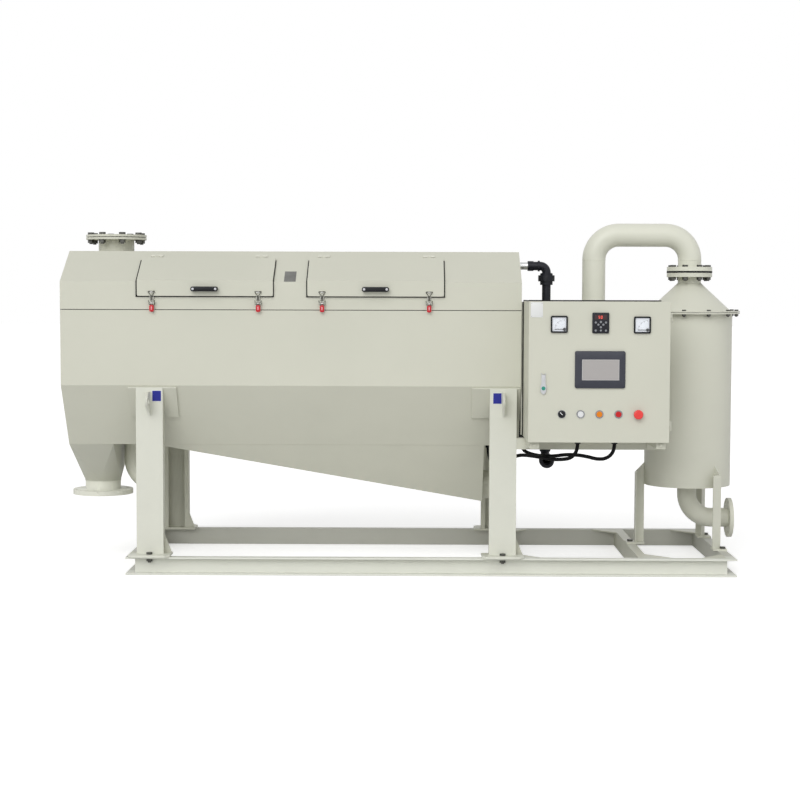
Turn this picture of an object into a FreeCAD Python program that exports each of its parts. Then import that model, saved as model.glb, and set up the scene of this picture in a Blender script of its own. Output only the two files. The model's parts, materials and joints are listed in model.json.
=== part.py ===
import FreeCAD, Part
import math
import os

# Rotary screen thickener on a steel base, with its mixing tank and control cabinet.
# Millimetres. +X runs to the right along the machine, -Y is the operator's side, +Z is up.
# The origin is on the floor at the middle of the base frame.

V = FreeCAD.Vector
UP, DOWN = V(0, 0, 1), V(0, 0, -1)
RIGHT, LEFT = V(1, 0, 0), V(-1, 0, 0)
BACK, FRONT = V(0, 1, 0), V(0, -1, 0)

# base frame of steel channel
base_length = 2720.0
base_depth = 1000.0
rail_height = 80.0
rail_flange = 43.0
rail_web_t = 5.0
rail_flange_t = 8.0
leg_beam_from_leg = 77.0
tank_beam_from_end = 434.0
gusset_leg = 110.0
gusset_t = 6.0
anchor_spacing_x = 2480.0
anchor_inset = 18.0
anchor_hole_r = 9.0
foot_bolt_r = 7.0
foot_hole_r = 7.5

# legs
leg_width = 120.0
leg_depth = 50.0
leg_lip = 20.0
leg_t = 4.0
left_leg_from_end = 45.0
right_leg_from_wall = 139.0
foot_plate_width = 186.0
foot_plate_out = 63.0
foot_plate_in = 62.0
foot_plate_t = 10.0
foot_chamfer = 18.0
saddle_t = 10.0
saddle_width = 216.0
saddle_length = 163.0
right_saddle_shift = -31.0
left_saddle_shift = 12.0
saddle_below_knee = 5.0
lug_t = 10.0
lug_reach = 85.0
lug_height = 110.0
lug_below_knee = 27.0
lug_hole_r = 15.0
stiffener_height = 80.0
stiffener_t = 8.0

# casing of the thickener
body_left = -1650.0
body_right = 398.0
body_half_depth = 450.0
roof_half_depth = 225.0
floor_z = 564.0
lower_side_height = 278.0
wall_below_seam = 337.0
wall_above_seam = 124.0
roof_rise = 140.0
lower_slope = 0.637
sheet_t = 3.0
seam_gasket_t = 3.0
seam_lip = 25.0
hopper_from_left = 386.0
hopper_from_right = 156.0
hopper_drop = 277.0
partition_from_left = 208.0
partition_t = 5.0

# sludge chute
chute_from_left = 105.0
chute_width = 202.0
chute_cone_height = 192.0
chute_neck_height = 64.0
chute_sheet_t = 4.0

# round flanges: outer diameter, bolt circle, bolt hole radius, pipe outer diameter
FLANGE_80 = (185.0, 150.0, 9.5, 89.0)
FLANGE_100 = (210.0, 175.0, 9.5, 108.0)
FLANGE_125 = (250.0, 210.0, 11.5, 133.0)
FLANGE_150 = (280.0, 240.0, 11.5, 165.0)
flange_bolt_count = 8
flange_phase = 22.5
pipe_wall = 4.0
flange_t = 22.0
small_flange_t = 18.0
gasket_t = 3.0
vent_from_left = 176.0
vent_neck_height = 57.0
vent_flange_t = 10.0
filtrate_above_end = 69.0
filtrate_length = 120.0
drain_from_left = 251.0
drain_bend = 114.0
drain_drop = 92.0

# hatches
left_hatch_from_left = 344.0
right_hatch_from_right = 345.0
left_hatch_width = 602.0
right_hatch_width = 604.0
lid_below_knee = 63.0
lid_slope_length = 190.0
lid_stand = 1.0
lid_height = 12.0
lid_sheet_t = 3.0
lid_corner_r = 7.0
opening_inset = 22.0
collar_height = 8.0
hinge_inset = 38.0
hinge_width = 53.0
hinge_barrel_r = 5.0
hinge_pin_r = 2.0
hinge_above_lid = 8.0
hinge_gap = 0.3
running_clearance = 0.05
handle_width = 120.0
handle_height = 22.0
handle_reach = 28.0
handle_bar_t = 8.0
handle_foot = 20.0
handle_above_edge = 31.0
left_handle_in = 300.5
right_handle_in = 301.5

# toggle latches
latch_in = 65.0
latch_pivot_below_lid = 33.0
latch_pivot_out = 14.0
latch_base_width = 22.0
latch_base_low = 44.0
latch_base_high = 10.0
latch_pin_r = 2.0
grip_low = 38.0
grip_high = 10.0
grip_width = 16.0
grip_t = 11.0
bail_wire_r = 1.5
bail_gap = 1.0
keeper_height = 26.0
keeper_width = 28.0

# screen drum and its rollers
drum_above_knee = 168.0
screen_r = 348.0
screen_t = 2.0
cage_r = 356.0
riding_r = 365.0
riding_width = 40.0
left_riding_in = 115.0
right_riding_in = 85.0
stiffener_count = 4
drum_from_left = 175.0
drum_from_right = 163.0
drum_inlet_r = 150.0
cage_bars = 12
flight_height = 55.0
flight_pitch = 420.0
flight_t = 4.0
roller_r = 50.0
roller_width = 44.0
roller_angle = 35.0
roller_gap = 0.3
roller_shaft_r = 20.0
bearing_r = 46.0
bearing_length = 40.0
cage_fit = 0.2

# drive
gearbox_width = 120.0
gearbox_depth = 124.0
gearbox_low = 70.0
gearbox_high = 72.0
worm_drop = 50.0
motor_r = 60.0
motor_length = 204.0
fan_cover_length = 35.0
motor_wall_gap = 4.0
terminal_box = (80.0, 90.0, 55.0)

# wash water
spray_y = -110.0
spray_below_roof = 61.0
spray_r = 17.0
nipple_reach = 48.0
wash_from_wall = 135.0
wash_pipe_r = 20.0
wash_bore_r = 16.0
wash_socket_r = 25.0
wash_union_r = 38.0
wash_union_below = 26.0
wash_union_height = 61.0
wash_low_z = 489.0
wash_reach = 75.0
wash_elbow_r = 30.0
wash_socket_length = 34.0
wash_stop_t = 4.0
nozzle_first = 185.0
nozzle_pitch = 125.0
nozzle_count = 11
left_hanger_in = 255.0
right_hanger_in = 320.0

# mixing tank and transfer pipe
tank_from_end = 149.0
tank_r = 200.0
tank_wall = 5.0
tank_bottom_t = 6.0
tank_bottom_z = 361.0
tank_top_z = 1169.0
tank_flange_r = 234.0
tank_flange_t = 6.0
tank_gasket_t = 2.0
tank_bolt_r = 219.0
tank_bolt_count = 12
tank_bolt_phase = 15.0
cone_height = 137.0
cone_base_r = 192.0
neck_height = 50.0
tank_leg_size = 45.0
tank_leg_t = 5.0
tank_leg_top = 470.0
tank_foot = 80.0
tank_foot_t = 8.0
inlet_bend = 114.0
inlet_drop = 158.0
inlet_reach = 209.0
transfer_from_wall = 365.0
transfer_rise = 173.0
transfer_bend = 115.0
drum_inlet_out = 50.0
drum_inlet_in = 385.0

# control cabinet; places on its door are measured from the door's lower left corner
cabinet_from_wall = 10.0
cabinet_z = 622.0
cabinet_size = 600.0
cabinet_front = -775.0
door_depth = 22.0
door_gap = 4.0
cabinet_back = -400.0
cabinet_sheet = 2.0
door_hinge_out = 6.0
door_hinge_r = 5.0
low_hinge_z = 70.0
high_hinge_down = 68.0
door_hinge_height = 39.0
door_side_gap = 0.5
meter_size = 72.0
left_meter_in = 128.0
left_meter_down = 97.0
right_meter_in = 120.0
right_meter_down = 99.0
keypad_left = 268.0
keypad_width = 71.0
keypad_down = 47.0
keypad_height = 88.0
screen_box = (196.0, 232.0, 410.0, 390.0)
display_box = (226.0, 266.0, 384.0, 354.0)
lock_box = (48.0, 205.0, 78.0, 296.0)
lock_t = 8.0
lock_lift = 1.5
lock_pin_drop = 3.0
lock_pin_r = 1.2
lock_boss_r = 3.0
lock_boss_half = 6.0
button_z = 121.0
selector_x = 142.0
button_xs = (222.0, 302.0, 383.0)
stop_x = 466.0
button_r = 14.5
bezel_r = 17.5
stop_r = 20.0
button_gap = 0.3
beam_size = 50.0
beam_wall = 4.0
beam_below_cabinet = 59.0
beam_end_in = 8.0
arm_in = 30.0
arm_width = 40.0
arm_height = 30.0

# cables
cable_r = 8.0
gland_r = 16.0
gland_length = 16.0
gland_hold = 8.0
control_gland_in = 223.0
motor_gland_in = 383.0
gland_behind_door = 125.0
probe_gland_from_wall = 133.0
probe_gland_y = -200.0

# values worked out from the ones above
half_length = base_length / 2
half_depth = base_depth / 2
web_y = half_depth - rail_flange
web_x = half_length - rail_flange
slope_cos = 1 / math.sqrt(1 + lower_slope ** 2)
lower_knee_z = floor_z + lower_side_height
seam_z = lower_knee_z + wall_below_seam
upper_knee_z = seam_z + wall_above_seam
roof_z = upper_knee_z + roof_rise
floor_half = body_half_depth - lower_slope * (lower_knee_z - floor_z)
roof_run = body_half_depth - roof_half_depth
roof_length = math.hypot(roof_run, roof_rise)
roof_dir = (roof_run / roof_length, roof_rise / roof_length)
roof_out = (-roof_dir[1], roof_dir[0])
knee_mitre = roof_out[1] / (1 - roof_out[0])
housing_top = seam_z - seam_gasket_t / 2
cover_bottom = seam_z + seam_gasket_t / 2
hopper_left = body_left + hopper_from_left
hopper_right = body_right - hopper_from_right
hopper_end_z = floor_z - hopper_drop
filtrate_z = hopper_end_z + filtrate_above_end
partition_x = body_left + partition_from_left
chute_x = body_left + chute_from_left
chute_right = body_left + chute_width
chute_neck_z = floor_z - chute_cone_height
chute_flange_z = chute_neck_z - chute_neck_height
vent_x = body_left + vent_from_left
vent_flange_z = roof_z + vent_neck_height
drain_x = body_left + drain_from_left
left_leg_x = left_leg_from_end - half_length
right_leg_x = body_right - right_leg_from_wall
lug_top_z = lower_knee_z - lug_below_knee
leg_beam_x = right_leg_x + leg_beam_from_leg
tank_beam_x = half_length - tank_beam_from_end
left_hatch = (body_left + left_hatch_from_left, body_left + left_hatch_from_left + left_hatch_width)
right_hatch = (body_right - right_hatch_from_right - right_hatch_width, body_right - right_hatch_from_right)
lid_bottom_z = upper_knee_z - lid_below_knee
handle_z = lid_bottom_z + handle_above_edge
left_handle_x = left_hatch[0] + left_handle_in
right_handle_x = right_hatch[0] + right_handle_in
latch_xs = (left_hatch[0] + latch_in, left_hatch[1] - latch_in, right_hatch[0] + latch_in,
            right_hatch[1] - latch_in)
latch_pivot_z = lid_bottom_z - latch_pivot_below_lid
drum_z = lower_knee_z + drum_above_knee
drum_left = body_left + drum_from_left
drum_right = body_right - drum_from_right
riding_xs = (drum_left + left_riding_in, drum_right - right_riding_in)
stiffener_pitch = (riding_xs[1] - riding_xs[0]) / (stiffener_count + 1)
spray_z = roof_z - spray_below_roof
nipple_end = body_right + nipple_reach
wash_x = body_right + wash_from_wall
tank_x = half_length - tank_from_end
cone_top_z = tank_top_z + cone_height
neck_top_z = cone_top_z + neck_height
inlet_z = tank_bottom_z - inlet_drop
inlet_face_x = tank_x + inlet_reach
transfer_x = body_right + transfer_from_wall
transfer_top_z = neck_top_z + transfer_rise
drum_inlet_face = body_right + drum_inlet_out
drum_inlet_start = drum_right - drum_inlet_in
roller_distance = riding_r + roller_r + roller_gap
roller_y = roller_distance * math.sin(math.radians(roller_angle))
roller_z = drum_z - roller_distance * math.cos(math.radians(roller_angle))
cabinet_x = body_right + cabinet_from_wall
cabinet_right = cabinet_x + cabinet_size
cabinet_top = cabinet_z + cabinet_size
door_back = cabinet_front + door_depth
box_front = door_back + door_gap
meter_spots = ((left_meter_in, cabinet_size - left_meter_down),
               (cabinet_size - right_meter_in, cabinet_size - right_meter_down))
keypad_box = (keypad_left, cabinet_size - keypad_down - keypad_height,
              keypad_left + keypad_width, cabinet_size - keypad_down)
door_hinge_zs = (low_hinge_z, cabinet_size - high_hinge_down)
beam_z = cabinet_z - beam_below_cabinet
beam_end = cabinet_right - beam_end_in
arm_xs = (cabinet_x + arm_in, cabinet_right - arm_in)
control_gland = (cabinet_x + control_gland_in, cabinet_front + gland_behind_door)
motor_gland = (cabinet_x + motor_gland_in, cabinet_front + gland_behind_door)
probe_gland = (body_right - probe_gland_from_wall, probe_gland_y)
front_y = -body_half_depth
lid_face = lid_stand + lid_height


def box(x0, x1, y0, y1, z0, z1):
    return Part.makeBox(x1 - x0, y1 - y0, z1 - z0, V(x0, y0, z0))


def cylinder(start, direction, radius, length):
    return Part.makeCylinder(radius, length, start, direction)


def tube(start, direction, outer, inner, length):
    return cylinder(start, direction, outer, length).cut(cylinder(start, direction, inner, length))


def prism(points, sweep):
    outline = Part.makePolygon(points + [points[0]])
    return Part.Face(outline).extrude(sweep)


def prism_x(yz, x0, x1):
    return prism([V(x0, y, z) for y, z in yz], V(x1 - x0, 0, 0))


def prism_y(xz, y0, y1):
    return prism([V(x, y0, z) for x, z in xz], V(0, y1 - y0, 0))


def prism_z(xy, z0, z1):
    return prism([V(x, y, z0) for x, y in xy], V(0, 0, z1 - z0))


def fuse(shapes):
    return shapes[0].multiFuse(shapes[1:]).removeSplitter() if len(shapes) > 1 else shapes[0]


def mirror_y(shape):
    return shape.mirror(V(0, 0, 0), BACK)


def turned(shape, axis, degrees, centre=V(0, 0, 0)):
    copy = shape.copy()
    copy.rotate(centre, axis, degrees)
    return copy


def across(direction):
    side = direction.cross(UP)
    return (side if side.Length > 0.5 else RIGHT).normalize()


def ring_points(centre, direction, radius, count, phase):
    first = across(direction)
    second = direction.cross(first)
    angles = [math.radians(phase + 360.0 * n / count) for n in range(count)]
    return [centre + first * (radius * math.cos(a)) + second * (radius * math.sin(a)) for a in angles]


def hexagon(centre, direction, radius, height):
    corners = ring_points(centre, direction, radius, 6, 0)
    return prism(corners, direction * height)


def fastener(start, direction, radius, grip):
    """Bolt from start along direction, with head, washer, nut and a thread end past the nut."""
    head = hexagon(start - direction * (radius * 1.3), direction, radius * 1.9, radius * 1.3)
    shank = cylinder(start, direction, radius, grip + radius * 2.6)
    end = start + direction * grip
    washer = cylinder(end, direction, radius * 2.1, radius * 0.3)
    nut = hexagon(end + direction * (radius * 0.3), direction, radius * 1.9, radius * 1.6)
    return fuse([head, shank, washer, nut])


def bolt_ring(centre, direction, pcd, count, phase, radius, grip):
    spots = ring_points(centre, direction, pcd / 2, count, phase)
    return [fastener(spot, direction, radius, grip) for spot in spots]


def drilled_disc(face, inward, size, thickness, bore_r):
    """Flange disc whose sealing face is at face and whose body lies along inward."""
    outer_d, pcd, hole_r, _ = size
    disc = cylinder(face, inward, outer_d / 2, thickness)
    holes = [cylinder(spot - inward, inward, hole_r, thickness + 2)
             for spot in ring_points(face, inward, pcd / 2, flange_bolt_count, flange_phase)]
    if bore_r:
        holes.append(cylinder(face - inward, inward, bore_r, thickness + 2))
    return disc.cut(holes)


def route(points, radii):
    """Wire of straight runs joined by tangent arcs, one radius for each inner point."""
    edges = []
    last = points[0]
    for before, corner, after, radius in zip(points, points[1:], points[2:], radii):
        d_in = (corner - before).normalize()
        d_out = (after - corner).normalize()
        turn = d_in.getAngle(d_out)
        setback = radius * math.tan(turn / 2)
        start = corner - d_in * setback
        end = corner + d_out * setback
        bisector = (d_out - d_in).normalize()
        middle = corner + bisector * (radius / math.cos(turn / 2) - radius)
        edges.append(Part.LineSegment(last, start).toShape())
        edges.append(Part.Arc(start, middle, end).toShape())
        last = end
    edges.append(Part.LineSegment(last, points[-1]).toShape())
    return Part.Wire(edges)


def swept(wire, first, second, radius):
    ring = Part.Wire(Part.makeCircle(radius, first, (second - first).normalize()))
    return wire.makePipeShell([ring], True, True)


def pipe(points, bend, outer, inner):
    wire = route(points, [bend] * (len(points) - 2))
    return swept(wire, points[0], points[1], outer).cut(swept(wire, points[0], points[1], inner))


def cord(name, points, radius):
    """Cable of free corners: each arc is as large as its two runs allow."""
    radii = []
    for before, corner, after in zip(points, points[1:], points[2:]):
        turn = (corner - before).getAngle(after - corner)
        shorter = min((corner - before).Length, (after - corner).Length)
        radii.append(0.45 * shorter / math.tan(turn / 2))
    wire = route(points, radii)
    solid = swept(wire, points[0], points[1], radius)
    print(name, "radii", [round(r) for r in radii], "length", round(wire.Length),
          "volume", round(solid.Volume), "section times length", round(math.pi * radius ** 2 * wire.Length))
    return solid


def inset(outline, distance):
    """Convex outline moved inwards, points given anticlockwise in their plane."""
    lines = []
    for (ax, ay), (bx, by) in zip(outline, outline[1:] + outline[:1]):
        length = math.hypot(bx - ax, by - ay)
        nx, ny = -(by - ay) / length, (bx - ax) / length
        lines.append((nx, ny, nx * ax + ny * ay + distance))
    corners = []
    for (a, b, c), (d, e, f) in zip(lines[-1:] + lines[:-1], lines):
        det = a * e - b * d
        corners.append(((c * e - b * f) / det, (a * f - c * d) / det))
    return corners


def slope_point(along, out=0.0):
    """Point (y, z) on the front lower slope, measured down from the knee and out from its face."""
    down = (lower_slope * slope_cos, -slope_cos)
    normal = (-slope_cos, -lower_slope * slope_cos)
    return (front_y + down[0] * along + normal[0] * out, lower_knee_z + down[1] * along + normal[1] * out)


def roof_point(along, out=0.0):
    """Point (y, z) on the front roof slope, measured up from the knee and out from its face."""
    return (front_y + roof_dir[0] * along + roof_out[0] * out,
            upper_knee_z + roof_dir[1] * along + roof_out[1] * out)


def hatch_band(low, high, bottom_z, along):
    """Outline of a bent layer over the front wall and the roof slope, between two offsets."""
    def knee(out):
        return (front_y - out, upper_knee_z + knee_mitre * out)
    return [(front_y - low, bottom_z), knee(low), roof_point(along, low),
            roof_point(along, high), knee(high), (front_y - high, bottom_z)]


def rounded_front(x0, x1, bottom_z, radius):
    """Tall block with its two lower corners rounded, to trim a lid or an opening."""
    low = box(x0, x1, front_y - 60, 0, bottom_z, roof_z + 60)
    corners = [edge for edge in low.Edges if abs(edge.CenterOfMass.z - bottom_z) < 0.1]
    edges = [edge for edge in corners if abs(edge.tangentAt(0).y) > 0.9]
    return low.makeFillet(radius, edges)


def channel_x(x0, x1, web_inner, tip):
    """Channel along X with its web at web_inner and its flanges reaching to tip."""
    side = 1 if tip > web_inner else -1
    ys = sorted((web_inner, web_inner + side * rail_web_t))
    flange_ys = sorted((web_inner, tip))
    return fuse([box(x0, x1, ys[0], ys[1], 0, rail_height),
                 box(x0, x1, flange_ys[0], flange_ys[1], 0, rail_flange_t),
                 box(x0, x1, flange_ys[0], flange_ys[1], rail_height - rail_flange_t, rail_height)])


def channel_y(web_inner, tip, y0, y1):
    side = 1 if tip > web_inner else -1
    xs = sorted((web_inner, web_inner + side * rail_web_t))
    flange_xs = sorted((web_inner, tip))
    return fuse([box(xs[0], xs[1], y0, y1, 0, rail_height),
                 box(flange_xs[0], flange_xs[1], y0, y1, 0, rail_flange_t),
                 box(flange_xs[0], flange_xs[1], y0, y1, rail_height - rail_flange_t, rail_height)])


def leg_centres():
    return [left_leg_x + leg_width / 2, right_leg_x + leg_width / 2]


def foot_bolt_spots():
    y = half_depth - rail_flange / 2
    return [V(x, side * y, 0) for x in leg_centres() for side in (-1, 1)]


def tank_feet():
    """Centre of each tank foot, with the angle of its leg round the tank."""
    reach = tank_r + tank_leg_size - 8
    spots = []
    for angle in (180.0, -60.0, 60.0):
        a = math.radians(angle)
        spots.append((V(tank_x + reach * math.cos(a), reach * math.sin(a), 0), angle))
    return spots


def foot_bolts_of_tank():
    left = V(tank_beam_x + rail_flange * 0.48, 0, 0)
    rights = [V(half_length - rail_flange * 0.4, spot.y + math.copysign(24, spot.y), 0) for spot,
              _ in tank_feet()[1:]]
    return [left] + rights


def base_rails():
    trims = [prism_z([(-half_length, -half_depth), (half_length, -half_depth), (web_x, -web_y),
                      (-web_x, -web_y)],
                     -1, rail_height + 1),
             prism_z([(half_length, -half_depth), (half_length, half_depth), (web_x, web_y),
                      (web_x, -web_y)],
                     -1, rail_height + 1)]
    anchor_y = half_depth - anchor_inset
    anchors = [cylinder(V(sx * anchor_spacing_x / 2, sy * anchor_y, -1), UP, anchor_hole_r,
                        rail_flange_t + 2)
               for sx in (-1, 1) for sy in (-1, 1)]
    bolts = [cylinder(spot + UP * (rail_height - rail_flange_t - 1), UP, foot_hole_r, rail_flange_t + 2)
             for spot in foot_bolt_spots() + foot_bolts_of_tank()]
    front = channel_x(-half_length, half_length, -web_y, -half_depth).common(trims[0]).cut(anchors + bolts)
    rear = mirror_y(channel_x(-half_length, half_length, -web_y,
                              -half_depth).common(trims[0])).cut(anchors + bolts)
    right = channel_y(web_x, half_length, -half_depth, half_depth).common(trims[1]).cut(bolts)
    left = right.mirror(V(0, 0, 0), RIGHT)
    return [front, rear, left, right]


def base_cross_members():
    bolts = [cylinder(spot + UP * (rail_height - rail_flange_t - 1), UP, foot_hole_r, rail_flange_t + 2)
             for spot in foot_bolts_of_tank()]
    beams = [channel_y(x, x + rail_flange, -web_y, web_y).cut(bolts) for x in (leg_beam_x, tank_beam_x)]
    corners = [(leg_beam_x + rail_flange, -1, 1), (leg_beam_x + rail_flange, 1, 1), (tank_beam_x, 1, -1),
               (tank_beam_x + rail_flange, -1, 1), (web_x, 1, -1), (web_x, -1, -1)]
    plates = []
    for x, side, way in corners:
        y = side * web_y
        plates.append(prism_z([(x, y), (x + way * gusset_leg, y), (x, y - side * gusset_leg)],
                              rail_height - gusset_t, rail_height))
    return beams + plates


def leg(x0, saddle_shift):
    """Front leg: lipped channel, foot plate, saddle pad on the slope and lifting lug, welded together."""
    x1 = x0 + leg_width
    middle = (x0 + x1) / 2
    face = -web_y
    back = face + leg_depth
    foot_z = rail_height + foot_plate_t
    top = lower_knee_z
    column = fuse([box(x0, x1, face, face + leg_t, foot_z, top),
                   box(x0, x0 + leg_t, face, back, foot_z, top),
                   box(x1 - leg_t, x1, face, back, foot_z, top),
                   box(x0, x0 + leg_lip, back - leg_t, back, foot_z, top),
                   box(x1 - leg_lip, x1, back - leg_t, back, foot_z, top)])
    inside = [slope_point(-40, saddle_t), slope_point(260, saddle_t), (0, 500), (0, 900)]
    column = column.cut(prism_x(inside, x0 - 1, x1 + 1))
    pad_ends = (saddle_below_knee, saddle_below_knee + saddle_length)
    pad = prism_x([slope_point(pad_ends[0]), slope_point(pad_ends[1]),
                   slope_point(pad_ends[1], saddle_t), slope_point(pad_ends[0], saddle_t)],
                  middle + saddle_shift - saddle_width / 2, middle + saddle_shift + saddle_width / 2)
    y0, y1 = face - foot_plate_out, face + foot_plate_in
    half, c = foot_plate_width / 2, foot_chamfer
    foot = prism_z([(middle - half, y0 + c), (middle - half + c, y0), (middle + half - c, y0),
                    (middle + half, y0 + c),
                    (middle + half, y1), (middle - half, y1)], rail_height, foot_z)
    hole = cylinder(V(middle, -(half_depth - rail_flange / 2), rail_height - 1), UP, foot_hole_r,
                    foot_plate_t + 2)
    lug_bottom = lug_top_z - lug_height
    lug = prism_x([(face, lug_top_z), (face - lug_reach + 30, lug_top_z),
                   (face - lug_reach, lug_top_z - 28),
                   (face - lug_reach, lug_top_z - 62), (face, lug_bottom)],
                  middle - lug_t / 2, middle + lug_t / 2)
    eye = cylinder(V(middle - lug_t, face - lug_reach + 36, lug_top_z - 42), RIGHT, lug_hole_r, 2 * lug_t)
    rib = prism_y([(x1 - 1, foot_z), (middle + half - 2, foot_z), (x1, foot_z + stiffener_height),
                   (x1 - 1, foot_z + stiffener_height)], back - stiffener_t, back)
    return fuse([column, pad, foot.cut(hole), lug.cut(eye), rib])


def casing_outline(z0, z1):
    """Cross-section of the casing between two levels, anticlockwise seen along -X."""
    outline = [(-body_half_depth, lower_knee_z), (-floor_half, floor_z), (floor_half, floor_z),
               (body_half_depth, lower_knee_z), (body_half_depth, upper_knee_z), (roof_half_depth, roof_z),
               (-roof_half_depth, roof_z), (-body_half_depth, upper_knee_z)]
    return outline, z0, z1


def casing_solid(distance, x0, x1, z0, z1):
    outline = inset(casing_outline(z0, z1)[0], distance)
    return prism_x(outline, x0, x1).common(box(x0, x1, -body_half_depth, body_half_depth, z0, z1))


def drive_shaft_spot(x):
    return V(x, roller_y, roller_z)


def lower_housing():
    shell = casing_solid(0, body_left, body_right, floor_z, housing_top)
    shell = shell.cut(casing_solid(sheet_t, body_left + sheet_t, body_right - sheet_t, floor_z,
                                   housing_top))
    lip = box(body_left, body_right, -body_half_depth, body_half_depth, housing_top - sheet_t, housing_top)
    window = box(body_left + seam_lip, body_right - seam_lip, -body_half_depth + seam_lip,
                 body_half_depth - seam_lip, housing_top - sheet_t, housing_top)
    mouth = floor_half - 5
    holes = [box(hopper_left + 17, hopper_right - sheet_t, -mouth, mouth, floor_z - 1,
                 floor_z + sheet_t + 1),
             box(body_left + sheet_t + 1, chute_right - chute_sheet_t, -mouth, mouth,
                 floor_z - 1, floor_z + sheet_t + 1),
             cylinder(V(drain_x, 0, floor_z - 1), UP, FLANGE_80[3] / 2 - pipe_wall, sheet_t + 2),
             cylinder(drive_shaft_spot(body_right - 10), RIGHT, roller_shaft_r + 6, 20),
             cylinder(V(body_right - 10, 0, drum_z), RIGHT, FLANGE_100[3] / 2 + cage_fit, 20)]
    return fuse([shell, lip.cut(window)]).cut(holes)


def filtrate_hopper():
    run = hopper_right - hopper_left
    drop = floor_z - hopper_end_z
    rise = sheet_t * math.hypot(run, drop) / run
    low = 100.0
    low_half = body_half_depth - lower_slope * (lower_knee_z - low)
    wall = sheet_t / slope_cos
    outer = prism_x([(-floor_half, floor_z), (floor_half, floor_z), (low_half, low), (-low_half, low)],
                    hopper_left, hopper_right)
    outer = outer.common(prism_y([(hopper_left, floor_z), (hopper_right, floor_z),
                                  (hopper_right, hopper_end_z)],
                                 -body_half_depth, body_half_depth))
    top = floor_z + 10
    top_half = floor_half + 10 * lower_slope - wall
    inner = prism_x([(-top_half, top), (top_half, top), (low_half - wall, low), (wall - low_half, low)],
                    hopper_left, hopper_right)
    inner = inner.common(prism_y([(hopper_left, floor_z + rise), (hopper_left, top),
                                  (hopper_right - sheet_t, top),
                                  (hopper_right - sheet_t, hopper_end_z + rise + sheet_t * drop / run)],
                                 -body_half_depth, body_half_depth))
    outlet = cylinder(V(hopper_right - 10, 0, filtrate_z), RIGHT, FLANGE_125[3] / 2 - pipe_wall, 20)
    return outer.cut([inner, outlet])


def square_to_round(x0, x1, half_y, z_top, centre_x, radius, z_low):
    """Solid between a rectangle at z_top and a circle at z_low."""
    corners = [(x0, -half_y), (x1, -half_y), (x1, half_y), (x0, half_y)]
    square = Part.makePolygon([V(x, y, z_top) for x, y in corners + corners[:1]])
    starts = [math.degrees(math.atan2(y, x - (x0 + x1) / 2)) for x, y in corners]
    arcs = []
    for start, end in zip(starts, starts[1:] + starts[:1]):
        end = end if end > start else end + 360
        points = [V(centre_x + radius * math.cos(math.radians(a)), radius * math.sin(math.radians(a)),
                    z_low)
                  for a in (start, (start + end) / 2, end)]
        arcs.append(Part.Arc(*points).toShape())
    return Part.makeLoft([square, Part.Wire(arcs)], True, True)


def sludge_chute():
    neck_r = FLANGE_150[3] / 2
    t = chute_sheet_t
    cone = square_to_round(body_left, chute_right, floor_half, floor_z, chute_x, neck_r, chute_neck_z)
    hollow = square_to_round(body_left + t, chute_right - t, floor_half - t, floor_z, chute_x,
                             neck_r - t, chute_neck_z)
    neck = cylinder(V(chute_x, 0, chute_flange_z), UP, neck_r, chute_neck_z - chute_flange_z)
    bore = cylinder(V(chute_x, 0, chute_flange_z), UP, neck_r - t, chute_neck_z - chute_flange_z)
    disc = drilled_disc(V(chute_x, 0, chute_flange_z), UP, FLANGE_150, flange_t, neck_r - 1)
    return fuse([cone.cut(hollow), neck.cut(bore), disc])


def partition_wall():
    right = partition_x + partition_t
    low = casing_solid(sheet_t, partition_x, right, floor_z + sheet_t, housing_top - sheet_t)
    narrow = box(partition_x, right, -body_half_depth + seam_lip, body_half_depth - seam_lip, floor_z,
                 roof_z)
    high = casing_solid(sheet_t + 1, partition_x, right, housing_top - sheet_t - 1, roof_z).common(narrow)
    opening = cylinder(V(partition_x - 1, 0, drum_z), RIGHT, cage_r + 4, partition_t + 2)
    return fuse([low, high]).cut(opening)


def hatch_opening(hatch):
    x0, x1 = hatch[0] + opening_inset, hatch[1] - opening_inset
    band = prism_x(hatch_band(-25, 30, lid_bottom_z + opening_inset, lid_slope_length - opening_inset),
                   x0, x1)
    return band.common(rounded_front(x0, x1, lid_bottom_z + opening_inset, lid_corner_r))


def hatch_collar(hatch):
    x0, x1 = hatch[0] + opening_inset - sheet_t, hatch[1] - opening_inset + sheet_t
    low = lid_bottom_z + opening_inset - sheet_t
    band = prism_x(hatch_band(-1, collar_height, low, lid_slope_length - opening_inset + sheet_t), x0, x1)
    return band.common(rounded_front(x0, x1, low, lid_corner_r + sheet_t))


def upper_cover():
    shell = casing_solid(0, body_left, body_right, cover_bottom, roof_z)
    shell = shell.cut(casing_solid(sheet_t, body_left + sheet_t, body_right - sheet_t, cover_bottom - 1,
                                   roof_z))
    lip = box(body_left, body_right, -body_half_depth, body_half_depth, cover_bottom,
              cover_bottom + sheet_t)
    window = box(body_left + seam_lip, body_right - seam_lip, -body_half_depth + seam_lip,
                 body_half_depth - seam_lip, cover_bottom, cover_bottom + sheet_t)
    vent_r = FLANGE_150[3] / 2
    vent = cylinder(V(vent_x, 0, roof_z - sheet_t), UP, vent_r, vent_flange_z - roof_z + sheet_t)
    vent_disc = drilled_disc(V(vent_x, 0, vent_flange_z + vent_flange_t), DOWN, FLANGE_150, vent_flange_t,
                             0)
    vent_bore = cylinder(V(vent_x, 0, roof_z - 20), UP, vent_r - pipe_wall, 100)
    cover = fuse([shell, lip.cut(window), vent, vent_disc, hatch_collar(left_hatch),
                  hatch_collar(right_hatch)])
    spray_hole = cylinder(V(body_right - 10, spray_y, spray_z), RIGHT, spray_r + cage_fit, 20)
    return cover.cut([hatch_opening(left_hatch), hatch_opening(right_hatch), vent_bore, spray_hole])


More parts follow.
